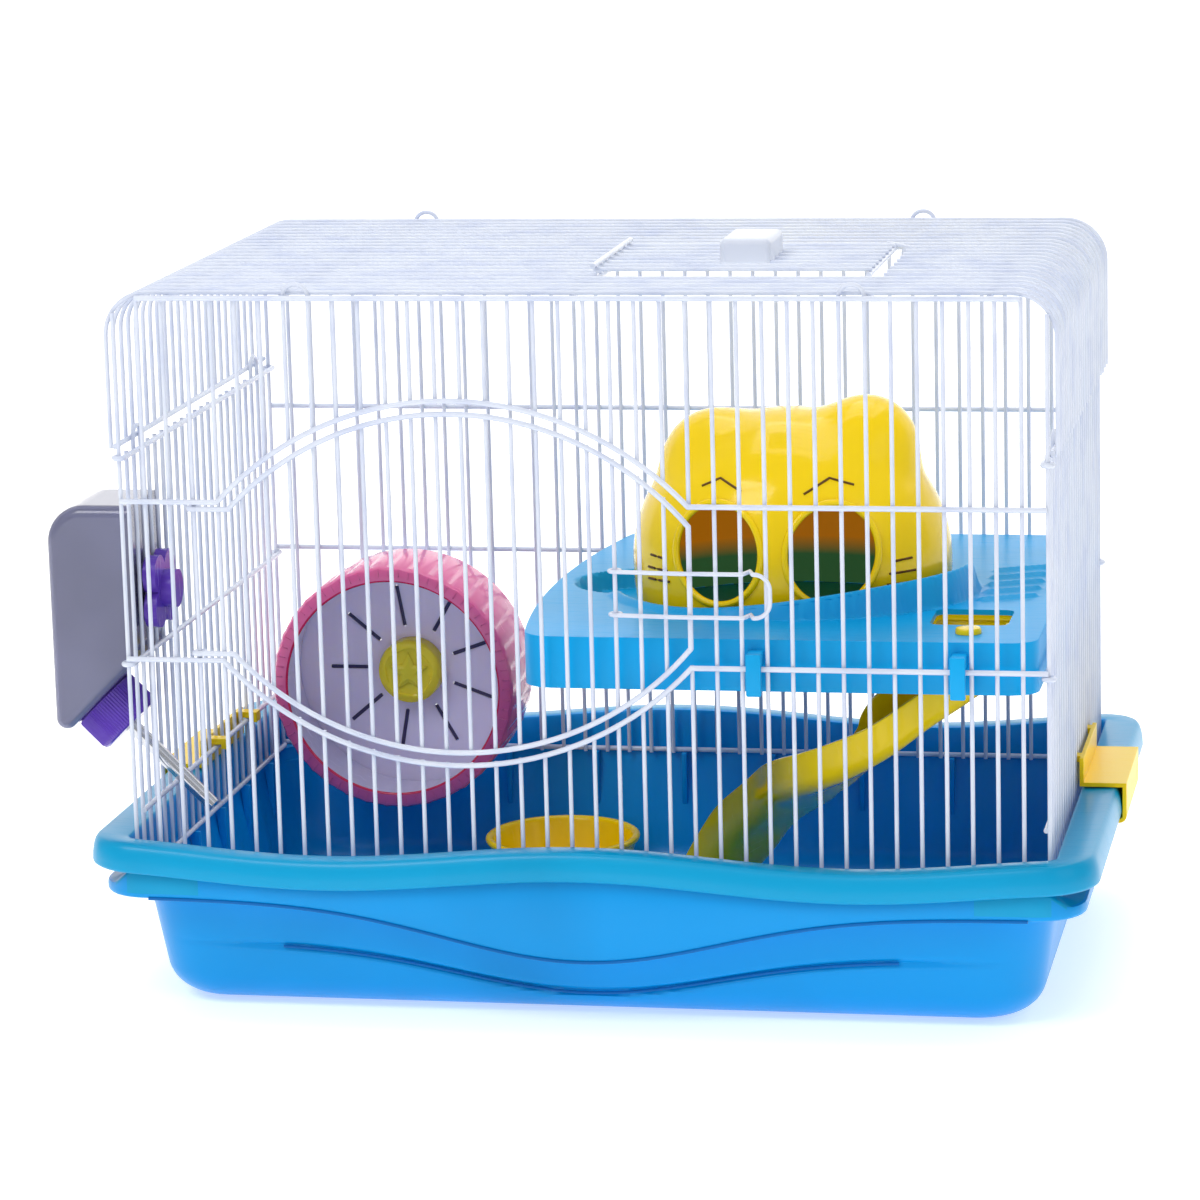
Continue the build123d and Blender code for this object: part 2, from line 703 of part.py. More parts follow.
def make_hatch_frame():
    """A long wire loop with an eye at each hinge end, and two wires across it."""
    near, far = HATCH_SIDES
    bend_x = CROSS_WIRE_INNER - HATCH_EYE_RUN
    frame = swept(FilletPolyline(
        (bend_x, near, HATCH_Z), (-HATCH_LOOP, near, HATCH_Z),
        (-HATCH_LOOP, far, HATCH_Z), (bend_x, far, HATCH_Z), radius=HATCH_CORNER), RAIL_D)
    eye_r = RAIL_D + EYE_CLEARANCE
    for y in HATCH_SIDES:
        frame += ball((bend_x, y, HATCH_Z), RAIL_D)
        frame += rod((bend_x, y, HATCH_Z), (CROSS_WIRE_INNER - 0.5, y, CROSS_Z + eye_r), RAIL_D)
        frame += ring((CROSS_WIRE_INNER, y, CROSS_Z), (0, 1, 0), eye_r, RAIL_D)
    over = HATCH_Z + WELD_OFFSET
    under = HATCH_Z - WELD_OFFSET
    frame_wires = [frame]
    frame_wires.append(rod((0, near, over), (0, far, over), RAIL_D))
    frame_wires.append(rod((HATCH_END_X, near, under), (HATCH_END_X, far, under), RAIL_D))
    return frame_wires


def make_hatch_bars():
    return [rod((-WELD_END, roof_y(k), HATCH_Z), (HATCH_END_X + WELD_END, roof_y(k), HATCH_Z), BAR_D)
            for k in range(HATCH_FIRST_WIRE, HATCH_LAST_WIRE + 1)]


def make_hatch_grip():
    """A hollow knob moulded round the middle hatch bars."""
    y = (HATCH_SIDES[0] + HATCH_SIDES[1]) / 2
    low = HATCH_Z - BAR_D / 2 - GRIP_SKIN
    body = Box(GRIP_WIDTH, GRIP_LENGTH, GRIP_HEIGHT + GRIP_SKIN)
    body = fillet(body.edges(), GRIP_ROUND)
    grip = Pos(GRIP_X, y, low + (GRIP_HEIGHT + GRIP_SKIN) / 2) * body
    for k in range(HATCH_FIRST_WIRE, HATCH_LAST_WIRE + 1):
        slot = block((GRIP_X - GRIP_WIDTH, roof_y(k) - BAR_D / 2, low - 1),
                     (GRIP_X + GRIP_WIDTH, roof_y(k) + BAR_D / 2, HATCH_Z))
        grip -= slot
        grip -= drum((GRIP_X - GRIP_WIDTH, roof_y(k), HATCH_Z), (1, 0, 0), BAR_D / 2, 2 * GRIP_WIDTH)
    return grip


# ================================================================ tray clips
def make_clip(side):
    """A saddle over the tray's rim that turns on the rim's lower edge and hooks a side rail."""
    pivot_x = LIP_WIDTH / 2 - WALL / 2
    pivot_z = LIP_CREST - LIP_HEIGHT
    skin, gap = CLIP_SKIN, CLIP_CLEARANCE
    bead_r = WALL / 2 + gap
    out_x = LIP_WIDTH / 2 + gap
    top_z = LIP_CREST + gap
    plate_x = HALF_W + BAR_D / 2 + gap + 1.0
    rail_top = LOW_RAIL_Z + RAIL_D / 2
    y0, y1 = CLIP_Y - CLIP_LENGTH / 2, CLIP_Y + CLIP_LENGTH / 2
    saddle = block((plate_x, y0, top_z), (out_x + skin, y1, top_z + skin))
    saddle += block((out_x, y0, pivot_z), (out_x + skin, y1, top_z + skin))
    finger_z = rail_top + gap
    saddle += block((plate_x, y0, top_z), (plate_x + skin, y1, finger_z + CLIP_FINGER_H))
    curl = drum((pivot_x, y0, pivot_z), (0, 1, 0), bead_r + skin, CLIP_LENGTH)
    curl -= drum((pivot_x, y0, pivot_z), (0, 1, 0), bead_r, CLIP_LENGTH)
    spare = 2 * (bead_r + skin)
    curl -= block((pivot_x - spare, y0, pivot_z), (pivot_x + spare, y1, pivot_z + spare))
    opening = math.radians(180.0 - CLIP_HOOK_ANGLE)
    cut = Polyline((0, 0), (-spare, 0), (-spare, -spare * math.tan(opening)), (0, 0))
    wedge = Plane(origin=(pivot_x, y0, pivot_z), x_dir=(1, 0, 0), z_dir=(0, -1, 0)) * make_face(cut)
    curl -= extrude(wedge, -CLIP_LENGTH)
    saddle += curl
    tip_x = RAIL_X - RAIL_D / 2 - gap - CLIP_TIP_SPARE - CLIP_TIP
    for middle in (CLIP_Y - CLIP_FINGER_GAPS * BAR_PITCH / 2, CLIP_Y + CLIP_FINGER_GAPS * BAR_PITCH / 2):
        f0, f1 = middle - CLIP_FINGER_W / 2, middle + CLIP_FINGER_W / 2
        saddle += block((tip_x, f0, finger_z), (plate_x + skin, f1, finger_z + CLIP_FINGER_H))
        saddle += block((tip_x, f0, finger_z - CLIP_TIP_DROP), (tip_x + CLIP_TIP, f1, finger_z + CLIP_FINGER_H))
    return saddle if side > 0 else mirror(saddle, Plane.YZ)


# ================================================================ running wheel
WHEEL_X = (bar_x(WHEEL_BAR) + bar_x(WHEEL_BAR + 1)) / 2
DISC_Y = WHEEL_FRONT_Y + WHEEL_DEPTH - WHEEL_DISC_T
PLATE_Y = HALF_D - BAR_D / 2 - BACKPLATE_T
BACK = (0, 1, 0)


def on_axle(y):
    return (WHEEL_X, y, WHEEL_Z)


def make_wheel_drum():
    """The running track: a skin with rungs inside and a flanged mouth."""
    track = drum(on_axle(WHEEL_FRONT_Y), BACK, WHEEL_R, WHEEL_DEPTH)
    track -= drum(on_axle(WHEEL_FRONT_Y + WHEEL_SKIN), BACK, WHEEL_R - WHEEL_SKIN, WHEEL_DEPTH)
    track -= drum(on_axle(WHEEL_FRONT_Y - 1), BACK, WHEEL_MOUTH_R, WHEEL_DEPTH)
    length = DISC_Y - WHEEL_FRONT_Y - WHEEL_SKIN
    for step in range(WHEEL_RUNGS):
        rung = Box(2 * RUNG_H, length, RUNG_W)
        place = Location((WHEEL_X, DISC_Y - length / 2, WHEEL_Z)) * Rot(0, 360 * step / WHEEL_RUNGS, 0)
        track += place * Pos(WHEEL_R - WHEEL_SKIN, 0, 0) * rung
    return track


def make_wheel_disc():
    """The wheel's back wall, slotted, with the boss that turns on the axle."""
    disc = drum(on_axle(DISC_Y), BACK, WHEEL_R - WHEEL_SKIN, WHEEL_DISC_T)
    disc += drum(on_axle(DISC_Y - HUB_H / 2), BACK, BOSS_R, HUB_H / 2 + WHEEL_DISC_T)
    for step in range(WHEEL_SLOTS):
        slot = SlotOverall(SLOT_OUTER - SLOT_INNER, SLOT_W)
        slot = Pos((SLOT_INNER + SLOT_OUTER) / 2, 0) * slot
        turned = Plane(origin=on_axle(DISC_Y - 1), x_dir=(1, 0, 0), z_dir=(0, 1, 0)) * (
            Rot(0, 0, 360 * (step + 0.5) / WHEEL_SLOTS) * slot)
        disc -= extrude(turned, WHEEL_DISC_T + 2)
    disc -= drum(on_axle(DISC_Y - HUB_H), BACK, AXLE_R + AXLE_CLEARANCE, 3 * HUB_H)
    return disc


def make_wheel_cap():
    """A hollow cap with a raised star over the end of the axle."""
    cap = drum(on_axle(DISC_Y - HUB_H), BACK, HUB_R, HUB_H)
    cap = fillet(cap.faces().sort_by(Axis.Y)[0].edges(), HUB_SKIN)
    cap -= drum(on_axle(DISC_Y - HUB_H + HUB_SKIN), BACK, HUB_R - HUB_SKIN, HUB_H)
    points = []
    for step in range(10):
        reach = HUB_R * (0.8 if step % 2 == 0 else 0.36)
        turn = math.radians(90 + 36 * step)
        points.append((reach * math.cos(turn), reach * math.sin(turn)))
    star = make_face(Polyline(*points, close=True))
    plane = Plane(origin=on_axle(DISC_Y - HUB_H), x_dir=(1, 0, 0), z_dir=(0, -1, 0))
    return cap + extrude(plane * star, RUNG_H)


def make_wheel_axle():
    """The pin: a flat head inside the cap, a plain journal and a threaded end behind the bars."""
    head_y = DISC_Y - HUB_H / 2 - AXLE_CLEARANCE - AXLE_HEAD_H
    tail_y = HALF_D + BAR_D / 2 + WHEEL_NUT_T + 2 * AXLE_CLEARANCE
    axle = drum(on_axle(head_y), BACK, AXLE_HEAD_R, AXLE_HEAD_H)
    return axle + drum(on_axle(head_y), BACK, AXLE_R, tail_y - head_y)


def make_wheel_backplate():
    """A round bearing plate against the inside of the back bars."""
    plate = drum(on_axle(PLATE_Y), BACK, BACKPLATE_R, BACKPLATE_T)
    return plate - drum(on_axle(PLATE_Y - 1), BACK, AXLE_R, BACKPLATE_T + 2)


def make_wheel_nut():
    """The nut that clamps the plate from behind the bars."""
    nut = drum(on_axle(HALF_D + BAR_D / 2), BACK, WHEEL_NUT_R, WHEEL_NUT_T)
    for step in range(8):
        turn = math.radians(45 * step)
        x = WHEEL_X + (WHEEL_NUT_R + 1) * math.cos(turn)
        z = WHEEL_Z + (WHEEL_NUT_R + 1) * math.sin(turn)
        nut -= drum((x, HALF_D, z), BACK, 2.0, WHEEL_NUT_T + 2)
    return nut - drum(on_axle(HALF_D), BACK, AXLE_R, WHEEL_NUT_T + 2)


# ================================================================ platform
PLATFORM_HALF_D = HALF_D - PLATFORM_SIDE_GAP


def platform_face(inset):
    """The platform's outline: straight front, right and back, a bowed left side."""
    front_left, bow, back_left = (x + inset for x in PLATFORM_LEFT)
    half, right = PLATFORM_HALF_D - inset, PLATFORM_RIGHT - inset
    outline = [
        Line((front_left, -half), (right, -half)),
        Line((right, -half), (right, half)),
        Line((right, half), (back_left, half)),
        ThreePointArc((back_left, half), (bow, 0), (front_left, -half)),
    ]
    face = make_face(outline)
    return fillet(face.vertices(), PLATFORM_CORNER - inset)


def basin_face(grow):
    """The sunken floor that takes the house, with a pool beside it."""
    reach = BASIN_MARGIN + grow
    basin = Pos(HOUSE_X, HOUSE_Y) * Ellipse(HOUSE_WIDTH / 2 + reach, HOUSE_DEPTH / 2 + reach)
    return basin + Pos(POOL_X, POOL_Y) * Circle(POOL_R + grow)


def make_platform():
    floor = DECK_TOP - BASIN_DEPTH
    deck = Pos(0, 0, SKIRT_BOTTOM) * extrude(platform_face(0), DECK_TOP - SKIRT_BOTTOM)
    hollow = Pos(0, 0, SKIRT_BOTTOM) * extrude(platform_face(DECK_T), DECK_TOP - DECK_T - SKIRT_BOTTOM)
    hollow -= Pos(0, 0, floor - DECK_T) * extrude(basin_face(DECK_T), BASIN_DEPTH + DECK_T)
    deck -= hollow
    deck -= Pos(0, 0, floor) * extrude(basin_face(0), BASIN_DEPTH + 1)
    deck -= block(
        (HOLE_X - HOLE_WIDTH / 2, HOLE_Y - HOLE_DEPTH / 2, DECK_TOP - 2 * DECK_T),
        (HOLE_X + HOLE_WIDTH / 2, HOLE_Y + HOLE_DEPTH / 2, DECK_TOP + 1))
    deck -= drum((PEG_X, PEG_Y, DECK_TOP - 2 * DECK_T), (0, 0, 1), PEG_R + PEG_CLEARANCE, 4 * DECK_T)
    for step in range(RAMP_RIBS):
        rib = Rot(0, 0, RAMP_RIB_TURN) * Box(*RAMP_RIB)
        deck += Pos(RAMP_X, RAMP_Y + RAMP_RIB_PITCH * step, DECK_TOP) * rib
    out = RAIL_Y + RAIL_D / 2 + HOOK_CLEARANCE
    low = MIDDLE_RAIL_Z + RAIL_D / 2 + HOOK_CLEARANCE
    for gap in HOOK_GAPS:
        x = (bar_x(gap) + bar_x(gap + 1)) / 2
        for side in (-1, 1):
            ys = sorted((side * (PLATFORM_HALF_D - DECK_T / 2), side * (out + HOOK_T)))
            deck += block((x - HOOK_W / 2, ys[0], low), (x + HOOK_W / 2, ys[1], low + HOOK_BRIDGE))
            ys = sorted((side * out, side * (out + HOOK_T)))
            deck += block((x - HOOK_W / 2, ys[0], SKIRT_BOTTOM), (x + HOOK_W / 2, ys[1], low + HOOK_BRIDGE))
    return deck


# ================================================================ house
def house_dome(grow):
    """The rounded head with two ears, grown or shrunk by a skin."""
    top = HOUSE_LEVELS[-1][0]
    rings = []
    for level, share in HOUSE_LEVELS:
        z = level * (top + grow) / top
        half_w, half_d = (HOUSE_WIDTH / 2 + grow) * share, (HOUSE_DEPTH / 2 + grow) * share
        rings.append(Pos(0, 0, z) * Ellipse(half_w, half_d))
    dome = loft(rings)
    for x, z in zip((-EAR_X, EAR_X), EAR_HEIGHTS):
        dome += Pos(x, 0, z) * Sphere(EAR_R + grow)
    return dome


def eye(x, grow):
    """A straight oval through the front wall."""
    oval = Ellipse(EYE_WIDTH / 2 + grow, EYE_HEIGHT / 2 + grow)
    plane = Plane(origin=(x, 0, EYE_Z), x_dir=(1, 0, 0), z_dir=(0, -1, 0))
    return extrude(plane * oval, HOUSE_DEPTH)


def make_house():
    proud = house_dome(EYE_RIM_STAND)
    house = house_dome(0.0)
    for x in (-EYE_X, EYE_X):
        house += proud & eye(x, EYE_RIM)
    house -= house_dome(-HOUSE_SKIN)
    for x in (-EYE_X, EYE_X):
        house -= eye(x, 0.0)
    return Pos(HOUSE_X, HOUSE_Y, DECK_TOP - BASIN_DEPTH + HOUSE_SEAT_GAP) * house


# ================================================================ slide
def chute_section(point, heading, lean):
    """One open section of the chute, square to its slope."""
    across = Vector(heading.Y, -heading.X, 0).normalized()
    up = Vector(-lean.X, -lean.Y, -lean.Z).normalized()
    half, wall, deep = CHUTE_WIDTH / 2, CHUTE_WALL, CHUTE_DEPTH
    corners = (
        (-half, deep), (-half, 0), (half, 0), (half, deep),
        (half - wall, deep), (half - wall, wall), (wall - half, wall), (wall - half, deep))
    points = [Vector(*point) + across * a + up * b for a, b in corners]
    return make_face(Polyline(*points, close=True))


def make_slide():
    """The chute, and the flange, lipped at the back, that fixes it under the platform."""
    sections = []
    last = len(CHUTE_ROUTE) - 1
    for k, point in enumerate(CHUTE_ROUTE):
        before, after = Vector(*CHUTE_ROUTE[max(k - 1, 0)]), Vector(*CHUTE_ROUTE[min(k + 1, last)])
        run = (after - before).normalized()
        heading = Vector(run.X, run.Y, 0).normalized()
        slope = math.hypot(run.X, run.Y)
        lean = heading * run.Z + Vector(0, 0, -slope)
        sections.append(chute_section(point, heading, lean))
    flange_top = DECK_TOP - DECK_T
    chute = loft(sections, ruled=True)
    chute -= block((0, -HALF_D, flange_top), (HALF_W, HALF_D, flange_top + 3 * CHUTE_DEPTH))
    low = (HOLE_X - HOLE_WIDTH / 2 - FLANGE_EDGE, PEG_Y - PEG_HEAD_R - 1, flange_top - FLANGE_T)
    high = (HOLE_X + HOLE_WIDTH / 2 + FLANGE_EDGE, HOLE_Y + HOLE_DEPTH / 2 + FLANGE_EDGE, flange_top)
    flange = block(low, high) - block(
        (HOLE_X - HOLE_WIDTH / 2, HOLE_Y - HOLE_DEPTH / 2, flange_top - 2 * FLANGE_T),
        (HOLE_X + HOLE_WIDTH / 2, HOLE_Y + HOLE_DEPTH / 2, flange_top + 1))
    flange += block((low[0], high[1] - FLANGE_T, low[2] - FLANGE_LIP), (high[0], high[1], flange_top))
    flange -= drum((PEG_X, PEG_Y, flange_top - 2 * FLANGE_T), (0, 0, 1), PEG_R, 4 * FLANGE_T)
    return chute + flange


def make_slide_peg():
    """The headed peg that pins the slide's flange to the platform."""
    low = DECK_TOP - DECK_T - FLANGE_T
    peg = drum((PEG_X, PEG_Y, low), (0, 0, 1), PEG_R, DECK_TOP - low)
    head = drum((PEG_X, PEG_Y, DECK_TOP), (0, 0, 1), PEG_HEAD_R, PEG_HEAD_H)
    return peg + fillet(head.faces().sort_by(Axis.Z)[-1].edges(), PEG_HEAD_H / 2)


# ================================================================ bowl
def make_bowl():
    z = FLOOR_Z + BOWL_SEAT_GAP
    foot = Plane(origin=(BOWL_X, BOWL_Y, z))
    inside = Plane(origin=(BOWL_X, BOWL_Y, z + BOWL_SKIN))
    bowl = Part() + Solid.make_cone(BOWL_BASE_R, BOWL_TOP_R, BOWL_H, foot)
    bowl += drum((BOWL_X, BOWL_Y, z + BOWL_H - BOWL_LIP_H), (0, 0, 1), BOWL_TOP_R + BOWL_LIP, BOWL_LIP_H)
    return bowl - Solid.make_cone(BOWL_BASE_R - BOWL_SKIN, BOWL_TOP_R - BOWL_SKIN, BOWL_H, inside)


# ================================================================ water bottle
BOTTLE_Y = (bar_y(BOTTLE_GAP_BAR) + bar_y(BOTTLE_GAP_BAR + 1)) / 2
BOTTLE_BACK = -HALF_W - BAR_D / 2 - BOTTLE_STAND
BOTTLE_LEFT = BOTTLE_BACK - BOTTLE_THICK
BOTTLE_BASE_FLAT = 1.44 * BOTTLE_CORNER
SPOUT = Vector(1, 0, -1).normalized()
NECK_FACE = (
    BOTTLE_LEFT + BOTTLE_BASE_FLAT + NECK_SET * math.sin(math.pi / 4), BOTTLE_Y,
    BOTTLE_BASE + NECK_SET * math.sin(math.pi / 4))
BOLT_AXIS = (1, 0, 0)


def down_spout(distance):
    """A point on the axis of the neck, the cap and the drinking tube."""
    return tuple(Vector(*NECK_FACE) + SPOUT * distance)


def spout_drum(start, radius, height):
    return drum(down_spout(start), tuple(SPOUT), radius, height)


def bottle_body(inset):
    """The flat-backed flask with a rounded crown and a sloping shoulder under it."""
    left, back = BOTTLE_LEFT + inset, BOTTLE_BACK - inset
    top, base = BOTTLE_TOP - inset, BOTTLE_BASE + inset
    corner = BOTTLE_LEFT + BOTTLE_BASE_FLAT - inset * (math.sqrt(2) - 1)
    slope_top = base + back - corner
    outline = Polyline(
        (left, top), (back, top), (back, slope_top), (corner, base), (left, base), close=True)
    face = make_face(outline)
    face = fillet([v for v in face.vertices() if v.X < back - 1 and v.Y < top - 1], BOTTLE_CORNER - inset)
    face = fillet([v for v in face.vertices() if v.X < left + 1 and v.Y > top - 1], BOTTLE_CROWN_R - inset)
    half = BOTTLE_WIDTH / 2 - inset
    plane = Plane(origin=(0, BOTTLE_Y, 0), x_dir=(1, 0, 0), z_dir=(0, -1, 0))
    body = extrude(plane * face, half, both=True)
    outer = body.edges().filter_by(lambda e: abs(abs(e.center().Y - BOTTLE_Y) - half) < 0.01)
    outer = outer.filter_by(lambda e: e.center().X < back - 1)
    return fillet(outer, BOTTLE_CORNER - inset)


def make_bottle_shell():
    deep = BOLT_LIP + BOLT_HEAD_H + 2 * THREAD_CLEARANCE
    chamber_r = BOLT_HEAD_R + THREAD_CLEARANCE
    bore = NECK_R - BOTTLE_SKIN
    shell = bottle_body(0.0) - bottle_body(BOTTLE_SKIN)
    shell += spout_drum(-BOTTLE_SKIN / 2, NECK_R, NECK_H + BOTTLE_SKIN / 2)
    shell -= spout_drum(-3 * BOTTLE_SKIN, bore, NECK_H + 4 * BOTTLE_SKIN)
    back = (BOTTLE_BACK, BOTTLE_Y, BOLT_Z)
    shell += drum(back, (-1, 0, 0), chamber_r + BOTTLE_SKIN, deep + BOTTLE_SKIN)
    shell -= drum((BOTTLE_BACK - BOLT_LIP, BOTTLE_Y, BOLT_Z), (-1, 0, 0), chamber_r, deep - BOLT_LIP)
    return shell - drum((BOTTLE_BACK + 1, BOTTLE_Y, BOLT_Z), (-1, 0, 0), BOLT_MOUTH_R, deep)


def make_bottle_cap():
    cap = spout_drum(0, CAP_R, CAP_H)
    cap -= spout_drum(-1, NECK_R, NECK_H + SEAL_T + 1)
    return cap - spout_drum(0, TUBE_R, 2 * CAP_H)


def make_bottle_seal():
    return spout_drum(NECK_H, NECK_R, SEAL_T) - spout_drum(0, TUBE_R, CAP_H)


def make_drinking_tube():
    start, end = NECK_H, CAP_H + TUBE_REACH
    tube = spout_drum(start, TUBE_R, end - start)
    tube -= spout_drum(start - 1, TUBE_R - TUBE_SKIN, end - start + 1 - TUBE_CRIMP)
    return tube - spout_drum(start, TUBE_MOUTH_R, end)


def make_tube_ball():
    rest = math.sqrt(BALL_R ** 2 - TUBE_MOUTH_R ** 2)
    return ball(down_spout(CAP_H + TUBE_REACH - TUBE_CRIMP - rest), 2 * BALL_R)


def make_bottle_bolt():
    head_x = BOTTLE_BACK - BOLT_LIP - BOLT_HEAD_H - THREAD_CLEARANCE
    tip_x = -HALF_W + BAR_D / 2 + NUT_GAP + NUT_T + NUT_KNOB_H - NUT_CAP - THREAD_CLEARANCE
    bolt = drum((head_x, BOTTLE_Y, BOLT_Z), BOLT_AXIS, BOLT_HEAD_R, BOLT_HEAD_H)
    return bolt + drum((head_x, BOTTLE_Y, BOLT_Z), BOLT_AXIS, BOLT_R, tip_x - head_x)


def make_bottle_nut():
    """A lobed hand nut with a closed knob, inside the bars."""
    start = -HALF_W + BAR_D / 2 + NUT_GAP
    nut = drum((start, BOTTLE_Y, BOLT_Z), BOLT_AXIS, NUT_LOBE_REACH, NUT_T)
    for step in range(NUT_LOBES):
        turn = math.radians(360 / NUT_LOBES * (step + 0.5))
        y = BOTTLE_Y + NUT_LOBE_REACH * math.cos(turn)
        z = BOLT_Z + NUT_LOBE_REACH * math.sin(turn)
        nut += drum((start, y, z), BOLT_AXIS, NUT_LOBE_R, NUT_T)
    nut += drum((start, BOTTLE_Y, BOLT_Z), BOLT_AXIS, NUT_KNOB_R, NUT_T + NUT_KNOB_H)
    return nut - drum((start - 1, BOTTLE_Y, BOLT_Z), BOLT_AXIS, BOLT_R + THREAD_CLEARANCE,
                      NUT_T + NUT_KNOB_H - NUT_CAP + 1)


# ================================================================ all sub-parts
os.makedirs("parts", exist_ok=True)
save("tray", make_tray())
save("front_bars", *make_front_bars())
save("front_hook_bars", *make_front_hooks())
save("front_rails", *make_front_rails())
save("front_frame_wires", *make_frame_wires())
save("back_bars", *make_back_bars())
save("back_hook_bars", *make_back_hooks())
save("back_rails", *make_back_rails())
for hand, side in (("left", -1), ("right", 1)):
    save(f"{hand}_bars", *make_side_bars(side))
    save(f"{hand}_hook_bars", *make_side_hooks(side))
    save(f"{hand}_rails", *make_side_rails(side))
    save(f"{hand}_clip", make_clip(side))
save("roof_wires", *make_roof_wires())
save("roof_cut_wires", *make_roof_cut_wires())
save("roof_rails", *make_roof_rails())
save("door_border", make_door_border())
save("door_bars", *make_door_bars())
save("door_latch", make_door_latch())
save("hatch_frame", *make_hatch_frame())
save("hatch_bars", *make_hatch_bars())
save("hatch_grip", make_hatch_grip())
save("wheel_drum", make_wheel_drum())
save("wheel_disc", make_wheel_disc())
save("wheel_cap", make_wheel_cap())
save("wheel_axle", make_wheel_axle())
save("wheel_backplate", make_wheel_backplate())
save("wheel_nut", make_wheel_nut())
save("platform", make_platform())
save("house", make_house())
save("slide", make_slide())
save("slide_peg", make_slide_peg())
save("bowl", make_bowl())
save("bottle_shell", make_bottle_shell())
save("bottle_cap", make_bottle_cap())
save("bottle_seal", make_bottle_seal())
save("drinking_tube", make_drinking_tube())
save("tube_ball", make_tube_ball())
save("bottle_bolt", make_bottle_bolt())
save("bottle_nut", make_bottle_nut())
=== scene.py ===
import math
from contextlib import contextmanager

import bpy
import numpy as np
from bpy.props import FloatProperty, FloatVectorProperty, IntProperty, PointerProperty
from bpy.types import Operator, Panel, PropertyGroup
from mathutils import Matrix, Vector


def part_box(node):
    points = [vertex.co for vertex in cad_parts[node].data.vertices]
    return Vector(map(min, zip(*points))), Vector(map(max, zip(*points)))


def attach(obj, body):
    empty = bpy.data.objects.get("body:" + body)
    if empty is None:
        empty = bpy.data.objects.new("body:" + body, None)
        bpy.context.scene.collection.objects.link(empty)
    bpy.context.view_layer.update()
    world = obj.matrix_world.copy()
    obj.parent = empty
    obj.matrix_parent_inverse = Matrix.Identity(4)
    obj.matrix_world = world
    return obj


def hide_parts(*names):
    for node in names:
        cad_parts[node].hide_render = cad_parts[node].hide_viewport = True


bl_info = {
    "name": "Hamster cage",
    "version": (1, 0, 0),
    "blender": (4, 5, 0),
    "location": "3D View > Sidebar > Cage",
    "description": "Dresses a wire hamster cage: tray, deck, house, slide, wheel, bottle, clips and wires",
    "category": "Object",
}

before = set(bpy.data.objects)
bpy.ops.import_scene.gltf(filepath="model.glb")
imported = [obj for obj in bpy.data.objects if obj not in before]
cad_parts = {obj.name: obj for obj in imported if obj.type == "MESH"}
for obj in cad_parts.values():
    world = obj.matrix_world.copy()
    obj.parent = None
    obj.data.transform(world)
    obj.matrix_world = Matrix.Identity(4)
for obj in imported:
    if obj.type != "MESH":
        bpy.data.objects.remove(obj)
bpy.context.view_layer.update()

# Lengths below are millimetres in the frame's own axes: X right, Y back, Z up, zero under the tray.
MM = 0.001
HALF_W = 212.75
BAR_PITCH = 11.5
SEAT_Z = 62.75
FLOOR_Z = 4.5
FOOT_H = 2.0
FOOT_ROUND = 14.0
WALL_LOW = FOOT_H + FOOT_ROUND
WALL_RUN = 30.0
WALL = 2.5
RIB_PITCH = 46.0
RIB_HALF = 1.25
RIB_LOW = 30.0
RIB_TOE = 38.0
LIP_CREST = 84.5
LIP_DIP = 7.0
LIP_HEIGHT = 13.5
LIP_WAVE = 243.0
LIP = (470.0, 304.0, 24.0)
APRON = (458.0, 295.0, 22.0)
APRON_GAP = 0.8
LEDGE = (437.0, 281.0, 8.0)
SEAT = (430.4, 273.6, 3.5)
DECK_TOP = 180.0
DECK_LOW = 156.0
BASIN_Z = 171.0
DECK_HALF_D = 126.5
DECK_RIGHT = 207.0
HOUSE_AT = Vector((80.0, -12.0, 171.3))
HOUSE_HALF = (76.0, 62.0, 72.0)
HOUSE_WIDEST = 24.0
EAR_X = 36.0
EAR_HEIGHTS = (70.0, 77.0)
EAR_R = 25.0
EYE = (26.5, 36.0, 20.0, 22.5)
HOLE = (172.0, -72.0, 36.0, 34.0)
FLANGE_TOP = 177.5
FLANGE_T = 2.5
FLANGE_RIM = 4.0
FLANGE_FRONT = -113.0
WHEEL_AT = Vector((-138.0, 70.0, 108.5))
WHEEL_R = 62.5
WHEEL_DEPTH = 50.0
MOUTH_R = 55.5
HUB_R = 16.5
BOWL_AT = Vector((-53.0, 74.0, 4.8))
CHUTE = (
    (172.0, -60.0, 168.0), (168.0, -78.0, 148.0), (147.0, -90.0, 131.0), (129.0, -93.0, 115.0),
    (110.0, -85.0, 102.0), (95.0, -66.0, 91.0), (82.0, -38.0, 77.0), (64.0, -14.0, 59.0), (50.0, 4.0, 38.0),
    (37.0, 14.0, 18.0), (22.0, 20.0, 7.5), (8.0, 24.0, 5.2),
)
BROWS = (((-35.5, 65.5), (-26.5, 69.5), (-16.0, 64.5)), ((13.5, 63.5), (24.5, 70.0), (35.5, 66.5)))
WHISKERS = (((53.0, 31.0), (61.5, 31.5)), ((52.0, 25.5), (63.0, 25.5)), ((51.0, 20.5), (63.0, 20.0)))
WIRE_NODES = (
    *(f"{wall}_{kind}" for wall in ("front", "back", "left", "right")
      for kind in ("bars", "hook_bars", "rails")),
    "front_frame_wires", "roof_wires", "roof_cut_wires", "roof_rails", "door_border", "door_bars",
    "door_latch", "hatch_frame", "hatch_bars",
)

